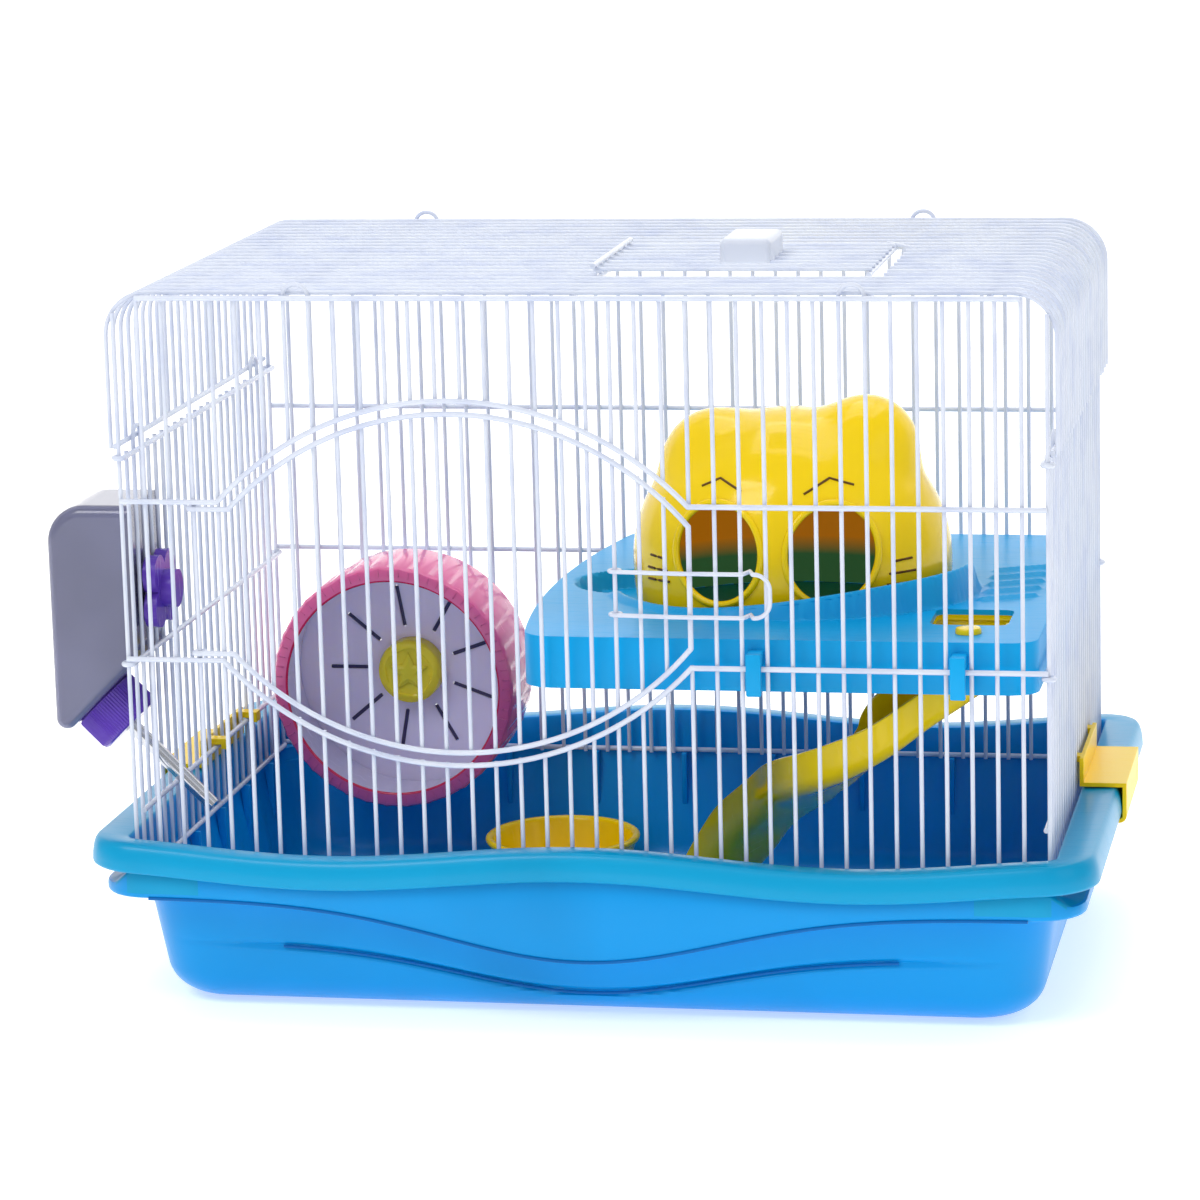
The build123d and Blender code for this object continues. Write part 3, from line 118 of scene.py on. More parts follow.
# Lamps stand in metres: name, place, size, power.
LAMPS = (
    ("key", (-0.9, -1.6, 2.0), 1.0, 20.0), ("fill", (1.8, -1.6, 1.2), 1.6, 5.0),
    ("top", (0.1, 0.5, 2.2), 1.6, 17.0),
)
LAMPS_FACE = Vector((0, 0, 0.15))
CAMERA_AT = Vector((400.8, -2105.8, 617.2))
CAMERA_YAW, CAMERA_PITCH, CAMERA_ROLL = 0.19541, 0.2052, -0.0266
CAMERA_LENS = 136.45
CAMERA_SENSOR = 36.0
WHITE = (1.0, 1.0, 1.0, 1.0)


def tint(red, green, blue):
    """A colour given in 0 to 255 as the linear values that shaders take."""
    shares = (red / 255, green / 255, blue / 255)
    return tuple(((c + 0.055) / 1.055) ** 2.4 if c > 10 / 255 else c / 12.92 for c in shares)


# ---------------------------------------------------------------- settings
def colour(label, about, value):
    """A colour setting."""
    return FloatVectorProperty(
        name=label, description=about, default=value, subtype="COLOR", size=3, min=0.0, max=1.0)


def length(label, about, value, low, high):
    """A length setting, given in millimetres."""
    return FloatProperty(
        name=label, description=about, default=value * MM, min=low * MM, max=high * MM, unit="LENGTH")


class CageColours(PropertyGroup):
    """Colours of the cage's plastics and coatings."""

    tray: colour("Tray", "Blue of the tray's walls", tint(0, 152, 226))
    rim: colour("Rim", "Greener blue of the tray's rim", tint(0, 156, 206))
    # Painted shade: deep blue for the strands laid under the apron's edge and in the wall's groove.
    line: colour("Wave lines", "Deep blue in the tray's two wave lines", tint(0, 104, 178))
    deck: colour("Deck", "Blue of the raised deck", tint(0, 164, 228))
    wire: colour("Wire", "White of the dipped wires", tint(216, 222, 236))
    house: colour("House", "Yellow of the cat-head house", tint(255, 214, 0))
    # Painted light: the two colours of the house's inside stand for light, not for the plastic's own colour.
    inside: colour("House inside", "Amber of the light inside the house", tint(214, 140, 12))
    inside_low_light: colour("House inside, low", "Green of the deck's light on yellow", tint(50, 116, 70))
    ink: colour("Lines", "Brown of the brows and whiskers", tint(96, 62, 10))
    slide: colour("Slide", "Yellow of the slide", tint(244, 212, 8))
    bowl: colour("Bowl", "Deep yellow of the bowl", tint(255, 212, 0))
    clip: colour("Clips", "Yellow of the tray clips", tint(255, 214, 18))
    drum: colour("Drum", "Pink of the wheel's drum", tint(246, 112, 172))
    mouth: colour("Mouth ring", "Red of the drum's inner edge", tint(232, 44, 92))
    disc: colour("Disc", "Lilac of the wheel's back", tint(232, 224, 250))
    # Painted shade: grey violet for the bars that fill the disc's slots.
    slot: colour("Slots", "Grey violet of the bars in the disc's slots", tint(74, 68, 104))
    hub: colour("Hub", "Yellow of the wheel's cap", tint(255, 228, 60))
    bottle: colour("Bottle", "Smoky violet of the bottle", tint(150, 152, 184))
    cap: colour("Cap", "Purple of the bottle's cap and nut", tint(96, 62, 178))
    steel: colour("Steel", "Drinking tube", tint(200, 202, 206))
    floor: colour("Floor", "Floor and backdrop", tint(252, 252, 252))


class CageSizes(PropertyGroup):
    """Sizes that shape the moulded pieces."""

    rim_round: length("Rim rounding", "Radius of the tray rim's outer edge", 4.0, 0.5, 8.0)
    edge_round: length("Edge rounding", "Radius of small moulded edges", 0.7, 0.1, 3.0)
    collar_low: length("Collar start", "Height of the collar beside the pool", 2.5, 0.0, 20.0)
    collar_high: length("Collar end", "Height of the collar at the right of the house", 15.0, 0.0, 30.0)
    groove: length("Wall groove", "Depth of the wave pressed into the tray's wall", 3.0, 0.0, 4.0)
    round_steps: IntProperty(
        name="Round steps", description="Sides of the turned pieces", default=144, min=48, max=288)


# ---------------------------------------------------------------- tools
def rest_tools():
    """Leaves edit mode with nothing selected."""
    if bpy.context.object and bpy.context.object.mode != "OBJECT":
        bpy.ops.object.mode_set(mode="OBJECT")
    bpy.ops.object.select_all(action="DESELECT")


def pick(piece):
    """Selects one piece alone and makes it active."""
    rest_tools()
    piece.select_set(True)
    bpy.context.view_layer.objects.active = piece


def named(name):
    """Names the object just added, with its mesh."""
    piece = bpy.context.object
    piece.name = name
    piece.data.name = name
    return piece


@contextmanager
def editing(piece, open_edges=False):
    """Edit mode on one piece, with all of it selected, or only the edges where it is open."""
    pick(piece)
    mesh = bpy.ops.mesh
    bpy.ops.object.mode_set(mode="EDIT")
    mesh.select_all(action="DESELECT" if open_edges else "SELECT")
    if open_edges:
        mesh.select_mode(type="EDGE")
        mesh.select_non_manifold()
    yield mesh
    if open_edges:
        mesh.select_mode(type="VERT")
    bpy.ops.object.mode_set(mode="OBJECT")


def weld(piece):
    """Closes seams and poles and turns the faces outwards."""
    with editing(piece) as mesh:
        mesh.remove_doubles(threshold=1e-6)
        mesh.dissolve_degenerate(threshold=1e-7)
        mesh.normals_make_consistent(inside=False)


def flip(piece):
    """Turns every face over."""
    with editing(piece) as mesh:
        mesh.flip_normals()


def moulded(name, across, along, place):
    """A sheet of squares whose crossings are moved to place(column, row), with its seams welded."""
    rest_tools()
    bpy.ops.mesh.primitive_grid_add(x_subdivisions=across, y_subdivisions=along, size=1.0)
    piece = named(name)
    for vertex in piece.data.vertices:
        column = round((vertex.co.x + 0.5) * across)
        row = round((vertex.co.y + 0.5) * along)
        vertex.co = Vector(place(column, row)) * MM
    weld(piece)
    return piece


def turned(name, centre, axis, profile, sides, ripple=None):
    """A profile of (radius, height) turned round an axis; ripple(angle, row) changes the radius."""
    axis = Vector(axis).normalized()
    first = axis.orthogonal().normalized()
    second = axis.cross(first)

    def place(column, row):
        angle = math.tau * (column % sides) / sides
        radius, height = profile[row]
        if ripple and radius:
            radius += ripple(angle, row)
        return centre + axis * height + (first * math.cos(angle) + second * math.sin(angle)) * radius

    return moulded(name, sides, len(profile) - 1, place)


def changed(piece, kind, **settings):
    """Adds one modifier, sets it and applies it."""
    pick(piece)
    modifier = piece.modifiers.new(kind, kind)
    for key, value in settings.items():
        setattr(modifier, key, value)
    bpy.ops.object.modifier_apply(modifier=modifier.name)
    return piece


def rounded(piece, width, segments=3, angle=35.0):
    """Rounds the sharp edges."""
    return changed(
        piece, "BEVEL", width=width, segments=segments, limit_method="ANGLE", angle_limit=math.radians(angle))


def block(name, low, high, edge=0.7):
    """A block between two corners with rounded edges."""
    low, high = Vector(low) * MM, Vector(high) * MM
    rest_tools()
    bpy.ops.mesh.primitive_cube_add(size=1.0, location=(low + high) / 2, scale=high - low)
    piece = named(name)
    bpy.ops.object.transform_apply(location=True, rotation=True, scale=True)
    return rounded(piece, edge * MM, 2) if edge else piece


def hole_block(name, low, high, edge):
    """A block that fills the slide's hole between two heights."""
    x, y, width, depth = HOLE
    return block(name, (x - width / 2, y - depth / 2, low), (x + width / 2, y + depth / 2, high), edge)


def cut(piece, tool):
    """Cuts a tool's shape out of a piece and removes the tool."""
    changed(piece, "BOOLEAN", operation="DIFFERENCE", object=tool, solver="EXACT")
    bpy.data.objects.remove(tool)
    return piece


def joined(name, parts):
    """Makes one piece of several."""
    rest_tools()
    for part in parts:
        part.select_set(True)
    bpy.context.view_layer.objects.active = parts[0]
    bpy.ops.object.join()
    return named(name)


def dressed(piece, *finishes):
    """Gives a piece its materials."""
    piece.data.materials.clear()
    for finish in finishes:
        piece.data.materials.append(finish)
    return piece


def coated(finish, *nodes):
    """Gives pieces that stay as the frame has them their material."""
    for node in nodes:
        dressed(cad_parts[node], finish)


def smooth(piece, angle=32.0):
    """Smooth shading with the sharper edges kept crisp."""
    pick(piece)
    bpy.ops.object.shade_smooth_by_angle(angle=math.radians(angle))
    return piece


def fitted(piece, body, slot, *nodes):
    """Sets a piece on its body, in place of the plain solids."""
    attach(piece, body)
    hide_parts(*nodes)
    return piece


def eased(value):
    """A smooth step from 0 to 1."""
    value = np.clip(value, 0.0, 1.0)
    return value * value * (3 - 2 * value)


# ---------------------------------------------------------------- finishes
def tuned(node, values):
    """Sets a node's sockets."""
    for socket, value in values.items():
        node.inputs[socket].default_value = value
    return node


def new_group(name, inputs, outputs):
    """An empty shader group that takes numbers and gives numbers."""
    group = bpy.data.node_groups.new(name, "ShaderNodeTree")
    number = "NodeSocketFloat"
    for label, value in inputs.items():
        group.interface.new_socket(name=label, in_out="INPUT", socket_type=number).default_value = value
    for label in outputs:
        group.interface.new_socket(name=label, in_out="OUTPUT", socket_type=number)
    return group, group.nodes.new("NodeGroupInput"), group.nodes.new("NodeGroupOutput")


def moulding_group():
    """Flow marks and a fine skin as height, and a cloudy mask for gloss."""
    group, given, made = new_group(
        "moulding_skin", {"Flow Scale": 12.0, "Skin Scale": 900.0, "Skin Share": 0.15}, ("Height", "Clouds"))
    add, link = group.nodes.new, group.links.new
    place = add("ShaderNodeTexCoord")
    flow = tuned(add("ShaderNodeTexNoise"), {"Detail": 2.0})
    skin = tuned(add("ShaderNodeTexNoise"), {"Detail": 1.0})
    blend = add("ShaderNodeMix")
    link(place.outputs["Object"], flow.inputs["Vector"])
    link(place.outputs["Object"], skin.inputs["Vector"])
    link(given.outputs["Flow Scale"], flow.inputs["Scale"])
    link(given.outputs["Skin Scale"], skin.inputs["Scale"])
    link(given.outputs["Skin Share"], blend.inputs["Factor"])
    link(flow.outputs["Fac"], blend.inputs["A"])
    link(skin.outputs["Fac"], blend.inputs["B"])
    link(blend.outputs["Result"], made.inputs["Height"])
    link(flow.outputs["Fac"], made.inputs["Clouds"])
    return group


def handling_group():
    """Fine hairline scratches and rubbed spots, as a mask."""
    group, given, made = new_group("handling_marks", {"Scale": 60.0, "Stretch": 12.0}, ("Marks",))
    add, link = group.nodes.new, group.links.new
    place = add("ShaderNodeTexCoord")
    stretch = tuned(add("ShaderNodeCombineXYZ"), {"X": 1.0, "Z": 1.0})
    scaled = add("ShaderNodeVectorMath")
    scaled.operation = "MULTIPLY"
    noise = tuned(add("ShaderNodeTexNoise"), {"Detail": 3.0})
    ramp = add("ShaderNodeValToRGB")
    ramp.color_ramp.elements[0].position = 0.56
    ramp.color_ramp.elements[1].position = 0.72
    link(given.outputs["Stretch"], stretch.inputs["Y"])
    link(place.outputs["Object"], scaled.inputs[0])
    link(stretch.outputs["Vector"], scaled.inputs[1])
    link(scaled.outputs["Vector"], noise.inputs["Vector"])
    link(given.outputs["Scale"], noise.inputs["Scale"])
    link(noise.outputs["Fac"], ramp.inputs["Fac"])
    link(ramp.outputs["Color"], made.inputs["Marks"])
    return group


def new_material(name):
    """A material, the ways to add nodes and links to it, and its shader."""
    material = bpy.data.materials.new(name)
    material.use_nodes = True
    tree = material.node_tree
    return material, tree.nodes.new, tree.links.new, tree.nodes["Principled BSDF"]


def grouped(add, name, maker, values):
    """A shader group in a material; the group itself is made once."""
    node = add("ShaderNodeGroup")
    node.node_tree = bpy.data.node_groups.get(name) or maker()
    return tuned(node, values)


def two_tone(add, first, second):
    """A blend of two colours."""
    tone = add("ShaderNodeMix")
    tone.data_type = "RGBA"
    tone.inputs[6].default_value = (*first, 1.0)
    tone.inputs[7].default_value = (*second, 1.0)
    return tone


def plastic(name, colour, deep=None, gloss=0.22, clear=0.0, glow=0.0, coat=0.4, grain=0.12, flow=9.0):
    """Moulded plastic: cloudy colour, a rippled skin and handling marks; clear lets light through."""
    material, add, link, shader = new_material(name)
    skin = grouped(add, "moulding_skin", moulding_group, {"Flow Scale": flow})
    marks = grouped(add, "handling_marks", handling_group, {})
    tone = two_tone(add, deep or tuple(c * 0.82 for c in colour), colour)
    spread = tuned(add("ShaderNodeMapRange"), {"From Min": 0.3, "From Max": 0.55})
    rough = tuned(add("ShaderNodeMapRange"), {"To Min": gloss, "To Max": gloss + 0.12})
    bump = tuned(add("ShaderNodeBump"), {"Strength": grain, "Distance": 0.6 * MM})
    link(skin.outputs["Clouds"], spread.inputs["Value"])
    link(spread.outputs["Result"], tone.inputs[0])
    link(tone.outputs[2], shader.inputs["Base Color"])
    link(marks.outputs["Marks"], rough.inputs["Value"])
    link(rough.outputs["Result"], shader.inputs["Roughness"])
    link(skin.outputs["Height"], bump.inputs["Height"])
    link(bump.outputs["Normal"], shader.inputs["Normal"])
    tuned(shader, {
        "IOR": 1.49, "Specular IOR Level": 0.22, "Coat IOR": 1.3, "Coat Weight": coat, "Coat Roughness": 0.08,
        "Transmission Weight": clear, "Subsurface Weight": glow, "Subsurface Scale": 6 * MM,
        "Subsurface Radius": (1.0, 0.8, 0.5)})
    return material


def lit_inside(name, high, low):
    """The inside of the house as painted light that glows faintly: one colour of light above, another thrown
    up from the deck below.
    """
    material, add, link, shader = new_material(name)
    place = add("ShaderNodeTexCoord")
    split = add("ShaderNodeSeparateXYZ")
    fade = tuned(add("ShaderNodeMapRange"), {"From Min": 185.0 * MM, "From Max": 194.0 * MM})
    tone = two_tone(add, low, high)
    link(place.outputs["Object"], split.inputs["Vector"])
    link(split.outputs["Z"], fade.inputs["Value"])
    link(fade.outputs["Result"], tone.inputs[0])
    link(tone.outputs[2], shader.inputs["Base Color"])
    link(tone.outputs[2], shader.inputs["Emission Color"])
    tuned(shader, {"Emission Strength": 0.25, "Roughness": 0.5})
    return material


def painted(piece, finish, belongs):
    """Gives the faces whose middle belongs to a region another finish."""
    piece.data.materials.append(finish)
    for face in piece.data.polygons:
        if belongs(face.center / MM):
            face.material_index = len(piece.data.materials) - 1
    return piece


def dipped_wire(name, colour):
    """Thick white dip on steel wire, with small sags in the coat and a cooler tone in places."""
    cooler = tuple(c * f for c, f in zip(colour, (0.86, 0.88, 0.95)))
    material = plastic(name, colour, cooler, 0.25, coat=0.6, grain=0.25, flow=45.0)
    tuned(material.node_tree.nodes["Principled BSDF"], {"Coat Roughness": 0.15})
    return material


def drawn_steel(name, colour):
    """Drawn steel tube with fine lines along it."""
    material, add, link, shader = new_material(name)
    tuned(shader, {"Base Color": (*colour, 1.0), "Metallic": 1.0})
    marks = grouped(add, "handling_marks", handling_group, {"Scale": 250.0, "Stretch": 3.0})
    rough = tuned(add("ShaderNodeMapRange"), {"To Min": 0.12, "To Max": 0.3})
    link(marks.outputs["Marks"], rough.inputs["Value"])
    link(rough.outputs["Result"], shader.inputs["Roughness"])
    return material


# ---------------------------------------------------------------- shapes
def outline(width, depth, corner, long_steps, short_steps, corner_steps):
    """A rounded rectangle, walked round anticlockwise, with the same count of points for any size."""
    points = []
    for quarter in range(4):
        across = 1 if quarter in (0, 3) else -1
        deep = 1 if quarter in (0, 1) else -1
        centre = (across * (width / 2 - corner), deep * (depth / 2 - corner))
        for step in range(corner_steps + 1):
            angle = math.pi / 2 * (quarter + step / corner_steps)
            points.append((centre[0] + corner * math.cos(angle), centre[1] + corner * math.sin(angle)))
        last = points[-1]
        steps = long_steps if quarter in (0, 2) else short_steps
        end = (-last[0], last[1]) if quarter in (0, 2) else (last[0], -last[1])
        for step in range(1, steps):
            share = step / steps
            points.append((last[0] + (end[0] - last[0]) * share, last[1] + (end[1] - last[1]) * share))
    return points


def lip_z(x):
    """Height of the rim's wavy top."""
    return LIP_CREST - LIP_DIP * (1 - math.cos(math.tau * x / LIP_WAVE)) / 2


def apron_z(x):
    """Height of the apron's lower edge, with its deep belly."""
    return 57.0 - 25.0 * math.exp(-((x / 90.0) ** 2))


def groove_z(x):
    """Height of the wave pressed into the wall under the apron."""
    return 33.0 - 20.4 * math.exp(-((x / 85.0) ** 2))


def wall_size(z, inset):
    """Width and depth of the tapered wall at a height."""
    grow = (z - FOOT_H) / (SEAT_Z - FOOT_H)
    return 410.0 + 24.0 * grow - 2 * inset, 254.0 + 24.8 * grow - 2 * inset


def ledge_z(x):
    """Top of the apron: close under the lip along the front and back, lower at the ends for the clips."""
    share = min(1.0, max(0.0, (222.0 - abs(x)) / 10.0))
    return SEAT_Z + share * (lip_z(x) - LIP_HEIGHT + 1.0 - SEAT_Z)


def tray_rings(settings):
    """The tray's section from under the floor, up outside, over the rim and down inside."""
    rings = []

    def add(width, depth, corner, height, groove=0.0):
        rings.append((width, depth, corner, height, groove))

    for step in range(13):
        turn = math.pi / 2 * step / 12
        inset = FOOT_ROUND * (1 - math.sin(turn))
        z = FOOT_H + FOOT_ROUND * (1 - math.cos(turn))
        width, depth = wall_size(z, inset)
        add(width, depth, 28.0 - inset * 0.9, lambda x, z=z: z, 1.0)
    for step in range(1, 39):
        share = step / 38
        width, depth = wall_size(WALL_LOW + share * WALL_RUN, 0.0)
        add(width, depth, 28.0, lambda x, s=share: WALL_LOW + s * (apron_z(x) - APRON_GAP - WALL_LOW), 1.0)

    def edge(size, inset, height):
        width, depth, corner = size
        add(width - 2 * inset, depth - 2 * inset, corner - inset, height)

    for width, depth, rise in ((432.0, 276.5, 0.6), (433.0, 277.5, 1.2)):
        add(width, depth, 26.0, lambda x, r=rise: apron_z(x) + r)
    for inset, rise in ((2.2, 0.2), (1.0, 0.3), (0.3, 0.9), (0.0, 1.9)):
        edge(APRON, inset, lambda x, r=rise: apron_z(x) + r)
    edge(APRON, 0.0, lambda x: apron_z(x) * 0.5 + 31.0)
    for inset, drop in ((0.0, 1.6), (0.5, 0.4), (1.8, 0.0)):
        edge(APRON, inset, lambda x, d=drop: ledge_z(x) - d)
    add(*LEDGE, ledge_z)
    add(*LEDGE, lambda x: lip_z(x) - 3.2)
    for inset, drop in (
        (2.5, 4.0), (2.25, 6.0), (2.25, LIP_HEIGHT - 1.0), (1.5, LIP_HEIGHT), (0.3, LIP_HEIGHT - 0.9),
    ):
        edge(LIP, inset, lambda x, d=drop: lip_z(x) - d)
    bend = settings.rim_round / MM
    for step in range(6):
        turn = math.pi / 2 * step / 5
        edge(LIP, bend * (1 - math.cos(turn)), lambda x, t=turn: lip_z(x) - bend * (1 - math.sin(t)))
    for width, depth, corner, drop in (
        (434.0, 278.0, 6.0, 0.0), (432.0, 275.4, 4.5, 0.5), (430.6, 273.8, 3.6, 2.2),
    ):
        add(width, depth, corner, lambda x, d=drop: lip_z(x) - d)
    for rise in (1.0, 0.0):
        add(*SEAT, lambda x, r=rise: SEAT_Z + r)
    width, depth = wall_size(SEAT_Z, WALL)
    add(width - 1.0, depth - 1.0, 25.0, lambda x: SEAT_Z - 0.1)
    for step in range(6):
        z = SEAT_Z - 2.0 - (SEAT_Z - 2.0 - WALL_LOW) * step / 5
        width, depth = wall_size(z, WALL)
        add(width, depth, 25.5, lambda x, z=z: z, -1.0)
    bend = FOOT_ROUND - WALL
    for step in range(1, 6):
        turn = math.pi / 2 * step / 5
        z = FLOOR_Z + bend * (1 - math.sin(turn))
        inset = bend * (1 - math.cos(turn))
        width, depth = wall_size(z, WALL + inset)
        add(width, depth, 25.5 - inset * 0.9, lambda x, z=z: z)
    return rings


def tray_form(settings):
    """The whole tray as one closed skin, grooved outside and fluted inside."""
    rings = tray_rings(settings)
    groove = settings.groove / MM
    walks = [outline(width, depth, corner, 92, 56, 9) for width, depth, corner, height, mark in rings]
    count = len(walks[0])

    def place(column, row):
        x, y = walks[row][column % count]
        width, depth, corner, height, mark = rings[row]
        z = height(x)
        front = abs(y) > depth / 2 - 2
        if mark > 0 and front:
            fade = max(0.0, 1 - (x / 205.0) ** 2)
            y -= math.copysign(groove * fade * math.exp(-(((z - groove_z(x)) / 1.5) ** 2)), y)
        if mark < 0:
            along = x if front else y
            push = 0.9 * (1 + math.cos(math.tau * along / 23.0)) / 2
            if front:
                y -= math.copysign(push, y)
            elif abs(x) > width / 2 - 2:
                x -= math.copysign(push, x)
        return x, y, z

    tray = moulded("tray_skin", count, len(rings) - 1, place)
    with editing(tray, open_edges=True) as mesh:
        mesh.edge_face_add()
        mesh.select_all(action="SELECT")
        mesh.normals_make_consistent(inside=False)
    return tray


def wall_face(x, z, inset):
    """Half width and half depth of the wall as it is drawn at a place, set in from its outside."""
    share = min(1.0, max(0.0, (z - WALL_LOW) / (apron_z(x) - APRON_GAP - WALL_LOW)))
    width, depth = wall_size(WALL_LOW + WALL_RUN * share, inset)
    return width / 2, depth / 2


def rib(along, near, side, across):
    """An upright rib on the inside of a wall, which the wire top stands on."""
    low, high = sorted((side * near, side * (near + 5)))
    axis = 0 if across else 1
    corners = ((low, along - RIB_HALF), (high, along + RIB_HALF))
    (x0, y0), (x1, y1) = corners if across else (corner[::-1] for corner in corners)
    piece = block("rib", (x0, y0, RIB_LOW), (x1, y1, SEAT_Z), 0)
    for vertex in piece.data.vertices:
        inner = abs(vertex.co[axis]) < (near + 2) * MM
        if inner and vertex.co.z < (RIB_LOW + 1) * MM:
            vertex.co.z = RIB_TOE * MM
        elif not inner:
            reach = wall_face(near if across else along, vertex.co.z / MM, 1.2)[axis]
            vertex.co[axis] = side * max(reach, near + 1.1) * MM
    return rounded(piece, 0.3 * MM, 2)


def deck_outline(y):
    """Left and right ends of the deck at a depth, with its rounded corners."""
    half = DECK_HALF_D
    share = y / half
    left = -36.0 + 12.5 * share * share + 3.5 * share
    beyond = max(0.0, abs(y) - (half - 12.0))
    corner = 12.0 - math.sqrt(max(0.0, 144.0 - beyond * beyond))
    return left + corner, DECK_RIGHT - corner


def deck_height(x, y, settings):
    """Height of the deck's top: basin, pool, the house's collar and the ramp's ribs."""
    dx, dy = (x - HOUSE_AT.x) / 81.0, (y - HOUSE_AT.y) / 67.0
    beyond = (math.hypot(dx, dy) - 1) * 70.0
    pool = math.hypot(x - 2.0, y) - 27.0
    z = BASIN_Z + (DECK_TOP - BASIN_Z) * float(eased(min(beyond, pool) / 3.0 + 0.2))
    if dy < 0.35 and pool > 0:
        climb = float(eased((dx + 0.75) / 1.75))
        tall = (settings.collar_low + (settings.collar_high - settings.collar_low) * climb) / MM
        fade = float(eased((0.35 - dy) / 0.5)) * float(eased(pool / 9.0))
        z += tall * fade * math.exp(-(((beyond - 3.6) / 2.6) ** 4))
    turn = math.radians(25.0)
    for step in range(5):
        ox, oy = x - 184.0, y + 28.0 - 17.0 * step
        along = ox * math.cos(turn) + oy * math.sin(turn)
        aside = oy * math.cos(turn) - ox * math.sin(turn)
        z += 1.6 * float(eased((15.0 - abs(along)) / 2.0)) * float(eased((2.4 - abs(aside)) / 1.6))
    return z


def deck_form(settings):
    """The deck's thin moulding with its skirt, hooks and slide hole."""
    across, along = 156, 168

    def place(column, row):
        y = -DECK_HALF_D + 2 * DECK_HALF_D * row / along
        left, right = deck_outline(y)
        x = left + (right - left) * column / across
        return x, y, deck_height(x, y, settings)

    deck = moulded("deck_skin", across, along, place)
    with editing(deck, open_edges=True) as mesh:
        mesh.extrude_edges_move()
    for vertex in deck.data.vertices:
        if vertex.select:
            vertex.co.z = DECK_LOW * MM
    with editing(deck) as mesh:
        mesh.normals_make_consistent(inside=False)
    if deck.data.polygons[len(deck.data.polygons) // 3].normal.z < 0:
        flip(deck)
    rounded(deck, 1.6 * MM, 3, 60.0)
    changed(deck, "SOLIDIFY", thickness=WALL * MM, offset=-1.0, use_even_offset=True)
    cut(deck, hole_block("hole_tool", 165, 190, 4.0))
    parts = [deck]
    for gap in (25, 33):
        x = BAR_PITCH * (gap + 0.5) - HALF_W
        for side in (-1, 1):
            for near, far, low, high in ((125.25, 137.0, 169.6, 175.4), (136.0, 138.5, DECK_LOW, 175.6)):
                near, far = sorted((side * near, side * far))
                parts.append(block("hook", (x - 3.5, near, low), (x + 3.5, far, high), 0.8))
    return joined("raised_deck", parts)


def head_gap(points):
    """Signed distance, roughly, from the cat head's surface; below zero is inside."""
    x, y, z = points[..., 0], points[..., 1], points[..., 2]
    above = np.maximum(z - HOUSE_WIDEST, 0.0)
    below = np.clip((HOUSE_WIDEST - z) / HOUSE_WIDEST, 0.0, 1.0)
    width, depth, height = HOUSE_HALF
    round_off = np.sqrt((x / width) ** 2 + (y / depth) ** 2 + (above / height) ** 2)
    body = (round_off - 1 + 0.03 * below ** 2) * depth
    ear_z = np.where(x < 0, *EAR_HEIGHTS)
    ears = np.sqrt((np.abs(x) - EAR_X) ** 2 + y ** 2 + (z - ear_z) ** 2) - EAR_R
    blend = 9.0
    near = np.clip(0.5 + 0.5 * (ears - body) / blend, 0.0, 1.0)
    return ears * (1 - near) + body * near - blend * near * (1 - near)


def face_y(x, z):
    """Depth of the head's front at a place on the face."""
    width, depth, height = HOUSE_HALF
    above = max(z - HOUSE_WIDEST, 0.0)
    return -depth * math.sqrt(max(0.0, 1 - (x / width) ** 2 - (above / height) ** 2))


def strand(name, points, radius, sides=8):
    """A thin round line through points, pinched shut at its ends."""
    count = len(points)

    def place(column, row):
        here = Vector(points[min(max(row - 1, 0), count - 1)])
        if row in (0, count + 1):
            return here
        before, after = Vector(points[max(row - 2, 0)]), Vector(points[min(row, count - 1)])
        run = (after - before).normalized()
        up = run.orthogonal().normalized()
        angle = math.tau * (column % sides) / sides
        return here + (up * math.cos(angle) + run.cross(up) * math.sin(angle)) * radius

    return moulded(name, sides, count + 1, place)


def face_line(points):
    """A drawn line laid on the head's front, close enough together to follow it."""
    path = []
    for (x0, z0), (x1, z1) in zip(points, points[1:]):
        for step in range(6):
            x, z = x0 + (x1 - x0) * step / 6, z0 + (z1 - z0) * step / 6
            path.append(HOUSE_AT + Vector((x, face_y(x, z), z)))
    x, z = points[-1]
    path.append(HOUSE_AT + Vector((x, face_y(x, z), z)))
    return path


def eye_rim(x_mid):
    """The raised rim round an eye."""
    steps, sides = 96, 12
    _, z_mid, half_w, half_h = EYE

    def place(column, row):
        angle = math.tau * (column % steps) / steps
        turn = math.tau * (row % sides) / sides
        out = 1.0 + 1.7 * math.cos(turn)
        x = x_mid + (half_w + out) * math.cos(angle)
        z = z_mid + (half_h + out) * math.sin(angle)
        x_ring = x_mid + (half_w + 1.0) * math.cos(angle)
        z_ring = z_mid + (half_h + 1.0) * math.sin(angle)
        return HOUSE_AT + Vector((x, face_y(x_ring, z_ring) + 1.9 * math.sin(turn) + 0.2, z))

    return moulded("eye_rim", steps, sides, place)


